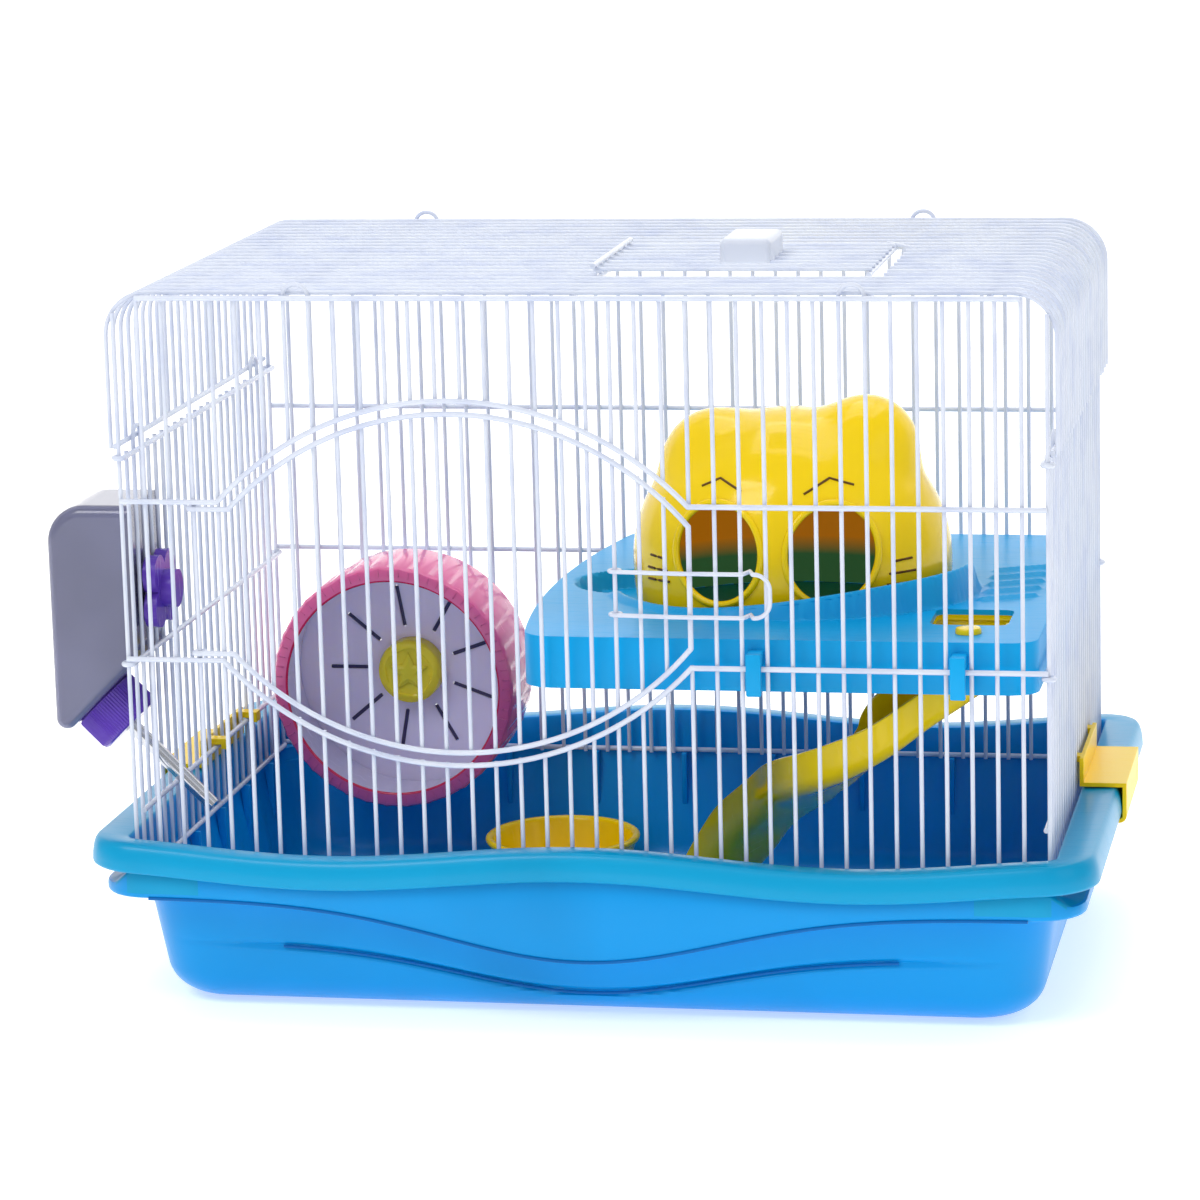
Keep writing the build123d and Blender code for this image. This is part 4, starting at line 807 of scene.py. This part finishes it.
def house_form():
    """The cat head: a blown form with two ears, walled, open below and cut for the eyes."""
    rest_tools()
    bpy.ops.mesh.primitive_ico_sphere_add(subdivisions=6, radius=1.0)
    head = named("house_skin")
    ways = np.array([v.co for v in head.data.vertices], float)
    ways /= np.linalg.norm(ways, axis=1)[:, None]
    heart = np.array((0.0, 0.0, 30.0))
    reach = np.linspace(12.0, 130.0, 119)
    gaps = head_gap(heart + ways[:, None, :] * reach[None, :, None])
    last = gaps.shape[1] - 1 - np.argmax(gaps[:, ::-1] < 0, axis=1)
    last = np.minimum(last, gaps.shape[1] - 2)
    rows = np.arange(len(ways))
    inner, outer = gaps[rows, last], gaps[rows, last + 1]
    far = reach[last] + (reach[1] - reach[0]) * inner / (inner - outer)
    places = (heart + ways * far[:, None] + np.array(HOUSE_AT)) * MM
    head.data.vertices.foreach_set("co", places.astype(np.float32).ravel())
    head.data.update()
    with editing(head) as mesh:
        mesh.bisect(
            plane_co=HOUSE_AT * MM, plane_no=(0, 0, 1), clear_inner=True, clear_outer=False, threshold=1e-6)
    changed(head, "SOLIDIFY", thickness=2.2 * MM, offset=-1.0)
    x_eye, z_eye, half_w, half_h = EYE
    for side in (-1, 1):
        rest_tools()
        bpy.ops.mesh.primitive_cylinder_add(
            vertices=96, radius=MM, depth=80 * MM, rotation=(math.pi / 2, 0, 0),
            location=(HOUSE_AT + Vector((side * x_eye, -45, z_eye))) * MM, scale=(half_w, half_h, 1))
        cut(head, named("eye_tool"))
    return head


def chute_path():
    """The slide's middle line as a smooth walk through its route."""
    points = [Vector(p) for p in CHUTE]
    walk = []
    for k in range(len(points) - 1):
        p0, p1 = points[max(k - 1, 0)], points[k]
        p2, p3 = points[k + 1], points[min(k + 2, len(points) - 1)]
        for step in range(9):
            t = step / 9
            walk.append(0.5 * (
                2 * p1 + (p2 - p0) * t + (2 * p0 - 5 * p1 + 4 * p2 - p3) * t * t
                + (3 * p1 - p0 - 3 * p2 + p3) * t ** 3))
    walk.append(points[-1])
    return walk


def chute_form():
    """The open chute: a rounded channel swept down its walk."""
    walk = chute_path()
    last = len(walk) - 1
    half, deep, corner = 19.0, 19.0, 9.0
    section = [(-half, deep), (-half, deep - 2), (-half, deep - 4)]
    for step in range(7):
        angle = math.pi / 2 * step / 6
        section.append((-half + corner * (1 - math.cos(angle)), corner * (1 - math.sin(angle))))
    section += [(-5.0, 0.0), (0.0, 0.0)]
    section += [(-a, b) for a, b in section[-2::-1]]

    def place(column, row):
        run = (walk[min(row + 2, last)] - walk[max(row - 2, 0)]).normalized()
        heading = Vector((run.x, run.y, 0)).normalized()
        side = Vector((heading.y, -heading.x, 0))
        rise = Vector((0, 0, math.hypot(run.x, run.y))) - heading * run.z
        a, b = section[column]
        return walk[row] + side * a + rise * b

    chute = moulded("chute_skin", len(section) - 1, last, place)
    if sum(p.normal.z * p.area for p in chute.data.polygons) > 0:
        flip(chute)
    changed(chute, "SOLIDIFY", thickness=2.0 * MM, offset=-1.0, use_even_offset=True)
    rounded(chute, 0.6 * MM, 2, 50.0)
    with editing(chute) as mesh:
        mesh.bisect(
            plane_co=(0, 0, FLANGE_TOP * MM), plane_no=(0, 0, 1), use_fill=True, clear_outer=True,
            threshold=1e-6)
    return chute


def spoke(step, count, radii, forward):
    """Points out along one spoke of the wheel."""
    angle = math.tau * step / count
    way = Vector((math.cos(angle), 0, math.sin(angle)))
    return [WHEEL_AT + way * radius + Vector((0, forward, 0)) for radius in radii]


def star_cap(sides):
    """The hub cap with a soft raised star on its front."""
    def ripple(angle, row):
        return 0.45 * math.cos(5 * angle) if row in (4, 5) else 0.0

    front = WHEEL_AT + Vector((0, WHEEL_DEPTH - 2, 0))
    profile = [
        (0.0, 0.0), (HUB_R, 0.0), (HUB_R, 8.5), (HUB_R - 0.6, 10.4), (HUB_R - 2.4, 11.6), (HUB_R - 4.0, 11.9),
        (HUB_R - 5.0, 11.0), (9.0, 11.0), (4.0, 11.2), (0.0, 11.3)]
    cap = turned("hub_skin", front, (0, -1, 0), profile, sides, ripple)
    points = []
    for step in range(10):
        angle = math.pi / 2 + math.pi * step / 5
        radius = 10.6 if step % 2 == 0 else 5.2
        points.append((radius * math.cos(angle), radius * math.sin(angle)))

    def place(column, row):
        x, z = points[column % 10]
        share, height = ((0.0, 13.0), (0.55, 12.9), (0.9, 12.2), (1.0, 11.6), (1.0, 9.0), (0.0, 9.0))[row]
        return front + Vector((x * share, -height, z * share))

    star = moulded("hub_star", 10, 5, place)
    return cap, star


# ---------------------------------------------------------------- operators
class HAMSTER_CAGE_OT_tray(Operator):
    """Moulds the tray with its wavy rim, apron and pads"""

    bl_idname = "hamster_cage.mould_tray"
    bl_label = "Mould tray"

    def execute(self, context):
        colours, sizes = context.scene.cage_colours, context.scene.cage_sizes
        finish = plastic("tray_moulding", colours.tray, gloss=0.32, coat=0.15)
        rim = plastic("rim_moulding", colours.rim, gloss=0.3, coat=0.12)
        parts = [tray_form(sizes)]
        for x in (-165, 165):
            for y in (-96, 96):
                parts.append(block("pad", (x - 25, y - 7, 0), (x + 25, y + 7, 3.2), 0.9))
        parts.append(block("pad", (-60, -30, 0), (60, 30, 3.2), 0.9))
        for last, near, across in ((3, 129.3, False), (2, 207.4, True)):
            for step in range(-last, last + 1):
                parts += [rib(RIB_PITCH * step, near, side, across) for side in (-1, 1)]
        # Painted shade lines: thin deep blue strands along the apron's lower edge and along the wall's
        # groove, on both sides.
        lines = []
        for side in (-1, 1):
            edge, wave = [], []
            for x in range(-204, 205, 6):
                edge.append((x, side * (APRON[1] / 2 - 0.2), apron_z(x) + 0.3))
            for x in range(-144, 145, 6):
                wave.append((x, side * (wall_size(groove_z(x), 0.4)[1] / 2), groove_z(x)))
            lines += [strand("apron_shade_line", edge, 0.8), strand("groove_shade_line", wave, 0.7)]
        shade = plastic("painted_shade_line", colours.line, gloss=0.4, coat=0.0)
        lines = [dressed(smooth(line), shade) for line in lines]
        tray = joined("tray_moulding", [dressed(part, finish) for part in parts] + lines)
        painted(tray, rim, lambda at: at.z > 63.0 and (abs(at.x) > 216.0 or abs(at.y) > 138.6))
        smooth(tray, 40.0)
        fitted(tray, "cage", "tray_blue", "tray")
        return {"FINISHED"}


class HAMSTER_CAGE_OT_deck(Operator):
    """Moulds the raised deck with its basin, collar, ramp ribs and hooks"""

    bl_idname = "hamster_cage.mould_deck"
    bl_label = "Mould deck"

    def execute(self, context):
        finish = plastic("deck_moulding", context.scene.cage_colours.deck, gloss=0.36, coat=0.08)
        deck = dressed(deck_form(context.scene.cage_sizes), finish)
        smooth(deck, 40.0)
        fitted(deck, "cage", "deck_blue", "platform")
        return {"FINISHED"}


class HAMSTER_CAGE_OT_house(Operator):
    """Shapes the cat-head house with its ears, eye rims, brows and whiskers"""

    bl_idname = "hamster_cage.shape_house"
    bl_label = "Shape house"

    def execute(self, context):
        colours = context.scene.cage_colours
        shell = plastic("house_moulding", colours.house, gloss=0.14, glow=0.15, coat=0.6, grain=0.06)
        ink = plastic("face_lines", colours.ink, gloss=0.4, coat=0.1)
        inside = lit_inside("house_inside_painted_light", colours.inside, colours.inside_low_light)
        head = dressed(smooth(house_form(), 35.0), shell)
        # The inner faces get painted light: amber from above and green thrown up from the deck, glowing
        # faintly.
        painted(head, inside, lambda at: head_gap(np.array(at - HOUSE_AT)) < -1.1)
        rims = [dressed(smooth(eye_rim(side * EYE[0])), shell) for side in (-1, 1)]
        lines = [*BROWS, *WHISKERS, *([(-x, z) for x, z in line] for line in WHISKERS)]
        drawn = [dressed(smooth(strand("face_line", face_line(line), 0.6)), ink) for line in lines]
        house = joined("cat_head_house", [head, *rims, *drawn])
        fitted(house, "house", "house_yellow", "house")
        return {"FINISHED"}


class HAMSTER_CAGE_OT_slide(Operator):
    """Sweeps the slide and adds its flange and peg"""

    bl_idname = "hamster_cage.sweep_slide"
    bl_label = "Sweep slide"

    def execute(self, context):
        colours = context.scene.cage_colours
        finish = plastic("slide_moulding", colours.slide, gloss=0.16, glow=0.1, coat=0.6, grain=0.08)
        x, y, width, depth = HOLE
        left, right = x - width / 2 - FLANGE_RIM, x + width / 2 + FLANGE_RIM
        back = y + depth / 2 + FLANGE_RIM
        flange = block("flange", (left, FLANGE_FRONT, FLANGE_TOP - FLANGE_T), (right, back, FLANGE_TOP))
        cut(flange, hole_block("flange_tool", 170, 180, 3.0))
        lip = block("flange_lip", (left, back - FLANGE_T, FLANGE_TOP - 6.5), (right, back, FLANGE_TOP - 0.5))
        slide = dressed(joined("slide_chute", [chute_form(), flange, lip]), finish)
        smooth(slide, 40.0)
        fitted(slide, "cage", "slide_yellow", "slide")
        peg = turned(
            "slide_pin", Vector((174.0, -106.0, 0.0)), (0, 0, 1),
            [(0, 172.4), (3.0, 172.4), (3.7, 173.4), (3.7, 180.1), (6.0, 180.1), (6.0, 181.6), (5.4, 182.6),
             (3.6, 183.0), (0, 183.1)], 48)
        fitted(smooth(dressed(peg, finish)), "cage", "slide_yellow", "slide_peg")
        return {"FINISHED"}


class HAMSTER_CAGE_OT_bowl(Operator):
    """Turns the food bowl"""

    bl_idname = "hamster_cage.turn_bowl"
    bl_label = "Turn bowl"

    def execute(self, context):
        finish = plastic(
            "bowl_moulding", context.scene.cage_colours.bowl, gloss=0.2, glow=0.2, coat=0.4, grain=0.08)
        profile = [
            (0.0, 1.2), (29.0, 1.2), (29.6, 0.0), (31.4, 0.0), (32.2, 0.8), (34.0, 10.0), (36.6, 24.6),
            (37.2, 25.6), (38.6, 26.2), (39.1, 27.2), (39.0, 28.2), (38.2, 28.9), (36.6, 29.0),
            (35.4, 28.3), (34.8, 26.8),
            (31.6, 8.0), (29.0, 4.4), (26.0, 3.4), (0.0, 3.2)]
        bowl = turned(
            "food_bowl", BOWL_AT, (0, 0, 1), profile, context.scene.cage_sizes.round_steps)
        fitted(smooth(dressed(bowl, finish), 50.0), "bowl", "bowl_yellow", "bowl")
        return {"FINISHED"}


class HAMSTER_CAGE_OT_wheel(Operator):
    """Turns the wheel's ribbed drum and star hub and finishes its disc and bracket"""

    bl_idname = "hamster_cage.turn_wheel"
    bl_label = "Turn wheel"

    def execute(self, context):
        colours, sides = context.scene.cage_colours, context.scene.cage_sizes.round_steps
        pink = plastic("drum_moulding", colours.drum, gloss=0.16, clear=0.2, glow=0.2, coat=0.5, grain=0.06)
        red = plastic("mouth_moulding", colours.mouth, gloss=0.16, clear=0.15, coat=0.5, grain=0.06)
        lilac = plastic("disc_moulding", colours.disc, gloss=0.2, glow=0.3, coat=0.4, grain=0.06)
        yellow = plastic("hub_moulding", colours.hub, gloss=0.2, glow=0.32, coat=0.4, grain=0.05)

        rim = WHEEL_R - 0.5
        profile = [
            (WHEEL_R - 2, 50.0), (rim, 50.0), (rim, 48.5), (rim, 2.4), (WHEEL_R - 1.6, 0.5),
            (WHEEL_R - 3, 0.0), (MOUTH_R, 0.0), (MOUTH_R, 2.0), (WHEEL_R - 2.5, 2.0), (WHEEL_R - 2.5, 50.0)]

        def skin(angle, row):
            raised = round(angle / math.tau * sides) % 4 == 0
            return (0.0, 0.0, 0.5, 0.5, 0.5, 0.0, 0.0, 0.0, -1.2, 0.0)[row] * raised

        drum = turned("drum_skin", WHEEL_AT, (0, 1, 0), profile, sides, skin)
        with editing(drum, open_edges=True) as mesh:
            mesh.bridge_edge_loops()
            mesh.select_all(action="SELECT")
            mesh.normals_make_consistent(inside=False)
        turns = [math.tau * step / 12 for step in range(13)]
        bead = [(MOUTH_R + 0.6 + 1.6 * math.cos(turn), 1.0 + 0.98 * math.sin(turn)) for turn in turns]
        mouth = turned("mouth_bead", WHEEL_AT, (0, 1, 0), bead, sides)
        spokes = []
        for step in range(72):
            ends = spoke(step, 72, (MOUTH_R + 2.5, 57.0, WHEEL_R - 2.0), 0.2)
            spokes.append(dressed(strand("face_ridge", ends, 0.45, 6), pink))
        dressed(drum, pink)

        def lining(at):
            off = at - WHEEL_AT
            return math.hypot(off.x, off.z) < WHEEL_R - 2.0 and off.y > 1.5

        painted(drum, lilac, lining)
        drum = joined("running_drum", [smooth(drum, 30.0), *spokes])
        fitted(drum, "wheel", "wheel_pink", "wheel_drum")
        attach(smooth(dressed(mouth, red), 60.0), "wheel")
        cap, star = star_cap(sides)
        cap = joined("star_hub", [dressed(smooth(cap, 40.0), yellow), dressed(smooth(star, 20.0), yellow)])
        fitted(cap, "wheel", "hub_yellow", "wheel_cap")
        coated(lilac, "wheel_disc")
        # The grey violet bars in the disc's slots are painted shade, standing for the dark seen through the
        # slots.
        slot_shade_finish = plastic("slot_shade_moulding", colours.slot, gloss=0.3, coat=0.2)
        bars = []
        for step in range(9):
            ends = spoke(step + 0.5, 9, (22.5, 33.0, 43.5), WHEEL_DEPTH - 1.2)
            bars.append(dressed(strand("slot_shade_bar", ends, 1.0), slot_shade_finish))
        bars = smooth(joined("slot_shade_bars", bars))
        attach(bars, "wheel")
        coated(pink, "wheel_axle", "wheel_backplate", "wheel_nut")
        return {"FINISHED"}


class HAMSTER_CAGE_OT_bottle(Operator):
    """Finishes the bottle, its ribbed cap, tube and nut"""

    bl_idname = "hamster_cage.finish_bottle"
    bl_label = "Finish bottle"

    def execute(self, context):
        colours, sides = context.scene.cage_colours, context.scene.cage_sizes.round_steps
        smoke = plastic(
            "bottle_moulding", colours.bottle, gloss=0.1, clear=0.55, coat=0.5, grain=0.05, flow=14.0)
        purple = plastic("cap_moulding", colours.cap, gloss=0.22, coat=0.4)
        rubber = plastic("seal_rubber", tint(190, 190, 196), gloss=0.6, coat=0.0, grain=0.3)
        steel = drawn_steel("drawn_tube", colours.steel)
        coated(smoke, "bottle_shell")
        coated(purple, "bottle_nut", "bottle_bolt")
        coated(rubber, "bottle_seal")
        coated(steel, "drinking_tube", "tube_ball")
        axis = Vector((1, 0, -1)).normalized()
        low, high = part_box("bottle_cap")
        middle = (low + high) / 2 / MM

        def knurl(angle, row):
            return (0, 0, 0, -0.6, -0.6, 0, 0, 0, 0, 0, 0)[row] * (round(angle / math.tau * sides) % 2)

        profile = [
            (13.6, -9.0), (15.8, -9.0), (16.6, -8.4), (16.8, -7.6), (16.8, 6.0), (16.0, 8.2), (14.6, 9.0),
            (3.6, 9.0), (3.6, 4.0), (13.6, 4.0), (13.6, -9.0)]
        cap = turned("knurled_cap", middle, axis, profile, sides, knurl)
        fitted(smooth(dressed(cap, purple), 25.0), "cage", "cap_purple", "bottle_cap")
        return {"FINISHED"}


class HAMSTER_CAGE_OT_wires(Operator):
    """Coats every wire, and finishes the clips and the roof grip"""

    bl_idname = "hamster_cage.coat_wires"
    bl_label = "Coat wires"

    def execute(self, context):
        colours = context.scene.cage_colours
        coat = dipped_wire("wire_dip", colours.wire)
        coated(coat, *WIRE_NODES)
        clip = plastic("clip_moulding", colours.clip, gloss=0.32, glow=0.06, coat=0.1)
        grip = plastic("grip_moulding", colours.wire, gloss=0.3, coat=0.2)
        for node, finish in (("left_clip", clip), ("right_clip", clip), ("hatch_grip", grip)):
            piece = dressed(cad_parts[node], finish)
            weld_step = piece.modifiers.new("weld", "WELD")
            weld_step.merge_threshold = 1e-5
            edge = piece.modifiers.new("edge", "BEVEL")
            edge.width = context.scene.cage_sizes.edge_round
            edge.segments = 2
            edge.limit_method = "ANGLE"
            edge.angle_limit = math.radians(40)
            edge.harden_normals = True
        return {"FINISHED"}


class HAMSTER_CAGE_OT_stage(Operator):
    """Sets the floor, lights and camera"""

    bl_idname = "hamster_cage.set_stage"
    bl_label = "Set stage"

    def execute(self, context):
        pale, _, _, shader = new_material("pale_floor")
        tuned(shader, {
            "Base Color": (*context.scene.cage_colours.floor, 1.0), "Roughness": 0.9,
            "Emission Color": WHITE, "Emission Strength": 0.45})

        def place(column, row):
            bend = max(0.0, column - 10) / 14 * math.pi / 2
            y = 1500.0 + 900.0 * math.sin(bend) if column > 10 else -3000.0 + 450.0 * column
            z = 900.0 * (1 - math.cos(bend))
            if column > 24:
                y, z = 2400.0, 900.0 + 400.0 * (column - 24)
            return -5000.0 + 10000.0 * row / 4, y, z

        sweep = moulded("floor_sweep", 32, 4, place)
        if sweep.data.polygons[0].normal.z < 0:
            flip(sweep)
        smooth(dressed(sweep, pale))
        for name, at, size, power in LAMPS:
            light = bpy.data.lights.new(name, "AREA")
            light.size = size
            light.energy = power
            lamp = bpy.data.objects.new(name, light)
            context.scene.collection.objects.link(lamp)
            lamp.location = at
            lamp.rotation_euler = (LAMPS_FACE - Vector(at)).to_track_quat("-Z", "Y").to_euler()
        context.scene.view_settings.view_transform = "Standard"
        world = bpy.data.worlds.new("soft_room")
        world.use_nodes = True
        tuned(world.node_tree.nodes["Background"], {"Color": WHITE, "Strength": 0.52})
        context.scene.world = world
        yaw, pitch, roll = CAMERA_YAW, CAMERA_PITCH, CAMERA_ROLL
        ahead = Vector((-math.sin(yaw) * math.cos(pitch), math.cos(yaw) * math.cos(pitch), -math.sin(pitch)))
        right = Vector((math.cos(yaw), math.sin(yaw), 0))
        up = right.cross(ahead)
        side = right * math.cos(roll) + up * math.sin(roll)
        top = up * math.cos(roll) - right * math.sin(roll)
        lens = bpy.data.cameras.new("front_view")
        lens.lens = CAMERA_LENS
        lens.sensor_width = CAMERA_SENSOR
        camera = bpy.data.objects.new("front_view", lens)
        context.scene.collection.objects.link(camera)
        turn = Matrix((side, top, -ahead)).transposed()
        camera.matrix_world = Matrix.Translation(CAMERA_AT * MM) @ turn.to_4x4()
        context.scene.camera = camera
        return {"FINISHED"}


class HAMSTER_CAGE_PT_panel(Panel):
    """The cage's settings and steps"""

    bl_label = "Hamster cage"
    bl_idname = "HAMSTER_CAGE_PT_panel"
    bl_space_type = "VIEW_3D"
    bl_region_type = "UI"
    bl_category = "Cage"

    def draw(self, context):
        for group in (context.scene.cage_colours, context.scene.cage_sizes):
            box = self.layout.box()
            for key in group.__annotations__:
                box.prop(group, key)
        for step in STEPS:
            self.layout.operator(step.bl_idname)


STEPS = (
    HAMSTER_CAGE_OT_tray, HAMSTER_CAGE_OT_deck, HAMSTER_CAGE_OT_house, HAMSTER_CAGE_OT_slide,
    HAMSTER_CAGE_OT_bowl, HAMSTER_CAGE_OT_wheel, HAMSTER_CAGE_OT_bottle, HAMSTER_CAGE_OT_wires,
    HAMSTER_CAGE_OT_stage,
)
CLASSES = (CageColours, CageSizes, *STEPS, HAMSTER_CAGE_PT_panel)


def register():
    """Adds the settings, steps and panel."""
    for item in CLASSES:
        bpy.utils.register_class(item)
    bpy.types.Scene.cage_colours = PointerProperty(type=CageColours)
    bpy.types.Scene.cage_sizes = PointerProperty(type=CageSizes)


def unregister():
    """Removes them again."""
    del bpy.types.Scene.cage_sizes
    del bpy.types.Scene.cage_colours
    for item in reversed(CLASSES):
        bpy.utils.unregister_class(item)


def main():
    """Runs every step."""
    register()
    for step in STEPS:
        group, name = step.bl_idname.split(".")
        getattr(getattr(bpy.ops, group), name)()
    rest_tools()


if __name__ == "__main__":
    main()
